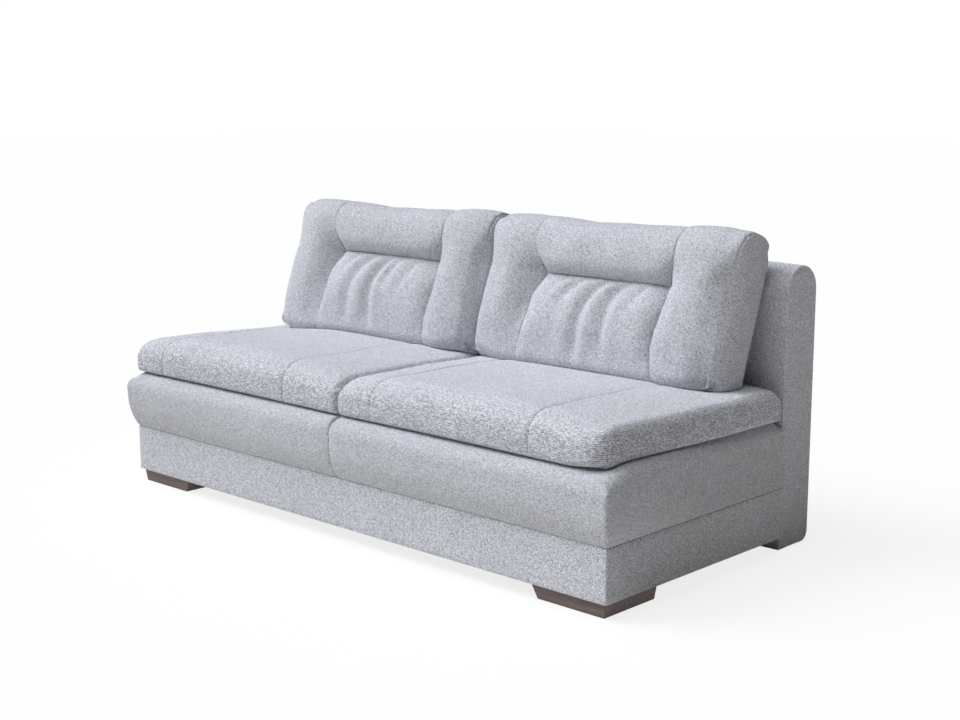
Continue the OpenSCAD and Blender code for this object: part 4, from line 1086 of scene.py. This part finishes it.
def back_slab():
    """The slab's fabric: a front, round top and rear panel, and two end panels sewn in."""
    y0, y1 = UNIT_D, UNIT_D + SLAB_T
    z0, z1 = GLIDE_H, SLAB_TOP
    xs = merge_stops(even(-SLAB_X, SLAB_X, 0.03), near_ends(-SLAB_X, SLAB_X, SLAB_EDGE_STOPS))
    profile = slab_profile(y0, y1, z0, z1)
    n = len(profile)
    points = []
    for x in xs:
        inset = SLAB_X - abs(x)
        left_in = max(0.0, SLAB_EDGE_R - inset)
        turn = SLAB_EDGE_R - math.sqrt(max(0.0, SLAB_EDGE_R * SLAB_EDGE_R - left_in ** 2))
        sag = SLAB_SAG * (1 - smooth(inset / SLAB_SAG_REACH))
        seam_dip = SLAB_SEAM_DIP * math.exp(-((inset - SLAB_SEAM_IN) / SLAB_SEAM_W) ** 2)
        for y, z in profile:
            c = np.array([y0 + SLAB_R, np.clip(z, z0 + SLAB_HEEL, z1 - SLAB_R)])
            d = np.array([y, z]) - c
            size = max(np.linalg.norm(d), 1e-9)
            d = d / size * max(size - turn - seam_dip, 0.001)
            yy, zz = c + d
            if z > z1 - SLAB_R:
                zz -= sag * (z - (z1 - SLAB_R)) / SLAB_R
            points.append((x, min(max(yy, y0), y1), max(zz, z0)))
    quads = [quad for i in range(len(xs) - 1) for quad in band(i * n, (i + 1) * n, n)]
    # the end panels, in rings towards their middle line
    for first, side in ((0, -1), (len(points) - n, 1)):
        ring = first
        for share in PANEL_RINGS:
            new = len(points)
            for _, y, z in points[first:first + n]:
                c = np.array([y0 + SLAB_R, np.clip(z, z0 + 0.02, z1 - SLAB_R)])
                yy, zz = c + (np.array([y, z]) - c) * share
                points.append((side * (SLAB_X - (share == PANEL_SEAM) * SLAB_SEAM_DIP), yy, zz))
            quads += [quad[::side] for quad in band(ring, new, n)]
            ring = new
    o = make_object("slab_fabric", to_row(np.array(points)), quads)
    close_up(o)
    dress(o, mat_slab, "root", "slab_fabric", "back_cover")


def close_up(o):
    """Joins points that coincide, and turns all faces outward."""
    bm = bmesh.new()
    bm.from_mesh(o.data)
    bmesh.ops.remove_doubles(bm, verts=bm.verts, dist=0.00005)
    bmesh.ops.recalc_face_normals(bm, faces=bm.faces)
    bm.to_mesh(o.data)
    bm.free()
    o.data.polygons.foreach_set("use_smooth", [True] * len(o.data.polygons))
    o.data.update()


plinth_cover()
base_half(1)
base_half(-1)
seat_left, seat_right = seat_cushion(-1), seat_cushion(1)
back_cushion(-1, seat_left)
back_cushion(1, seat_right)
back_slab()


# stage, light, camera

def seen_rays(tree):
    """1 for the rays that show a surface to the eye or in a reflection, else 0."""
    rays = tree.nodes.new("ShaderNodeLightPath")
    seen = calc(tree, "MAXIMUM", rays.outputs["Is Camera Ray"], rays.outputs["Is Glossy Ray"])
    return calc(tree, "MAXIMUM", seen, rays.outputs["Is Transmission Ray"])


# how much of the floor's own white hides its shadow
SHADOW_LIFT = 0.82
FLOOR_REACH = 30.0


def floor_material():
    """A pale floor that keeps a light shadow, and throws soft warm light up on the sofa."""
    m, t, s = new_material("pale floor")
    give(s, Base_Color=(0.8, 0.78, 0.735, 1), Roughness=0.9)
    place = node(t, "ShaderNodeTexCoord").outputs["Object"]
    grain = node(t, "ShaderNodeTexNoise", Vector=place, Scale=2.0, Detail=2.0)
    pale = t.nodes.new("ShaderNodeBsdfDiffuse")
    tinted(t, pale, grain.outputs[0], (0.95,) * 3, (0.97,) * 3)
    shown = mixed(t, SHADOW_LIFT, pale, node(t, "ShaderNodeEmission", Strength=1.0))
    out = next(n for n in t.nodes if n.type == "OUTPUT_MATERIAL")
    t.links.new(mixed(t, seen_rays(t), s, shown).outputs[0], out.inputs[0])
    return m


floor_corners = FLOOR_REACH * np.array([(-1, -1, 0), (1, -1, 0), (1, 1, 0), (-1, 1, 0)])
floor = make_object("floor", floor_corners, [(0, 1, 2, 3)])
floor.data.materials.append(floor_material())


def sun(name, direction, angle, strength, colour):
    light = bpy.data.lights.new(name, "SUN")
    light.color = colour
    light.angle = math.radians(angle)
    light.energy = strength
    o = placed(name, light)
    d = Vector(direction).normalized()
    o.location = d * 6
    o.rotation_mode = "QUATERNION"
    o.rotation_quaternion = d.to_track_quat("Z", "Y")


sun("key", (-0.6, -0.45, 0.66), 38, 2.25, (0.955, 0.98, 1.05))
sun("overhead", (-0.15, -0.3, 0.94), 50, 1.6, (0.985, 0.98, 1.01))

world = bpy.data.worlds.new("studio")
bpy.context.scene.world = world
world.use_nodes = True
wt = world.node_tree
wt.nodes.clear()
world_out = wt.nodes.new("ShaderNodeOutputWorld")
soft = node(wt, "ShaderNodeBackground", Color=(1, 1, 1, 1), Strength=0.05)
white = node(wt, "ShaderNodeBackground", Color=(1, 1, 1, 1), Strength=1.0)
wt.links.new(mixed(wt, seen_rays(wt), soft, white).outputs[0], world_out.inputs[0])

# the photo's camera: its focal length in pixels of a 960 pixel wide image, its tilt and its turn
FOCAL_PX, IMAGE_W, SENSOR_W = 1519.27, 960, 36
TILT, HEADING = 0.1796226, 0.7590641
camera_data = bpy.data.cameras.new("camera")
camera_data.sensor_width = SENSOR_W
camera_data.lens = SENSOR_W * FOCAL_PX / IMAGE_W
camera = placed("camera", camera_data)
camera.location = (3.158916, -3.186525, 1.28042)
camera.rotation_euler = (math.pi / 2 - TILT, 0, HEADING)
bpy.context.scene.camera = camera

bpy.context.scene.view_settings.view_transform = "Standard"
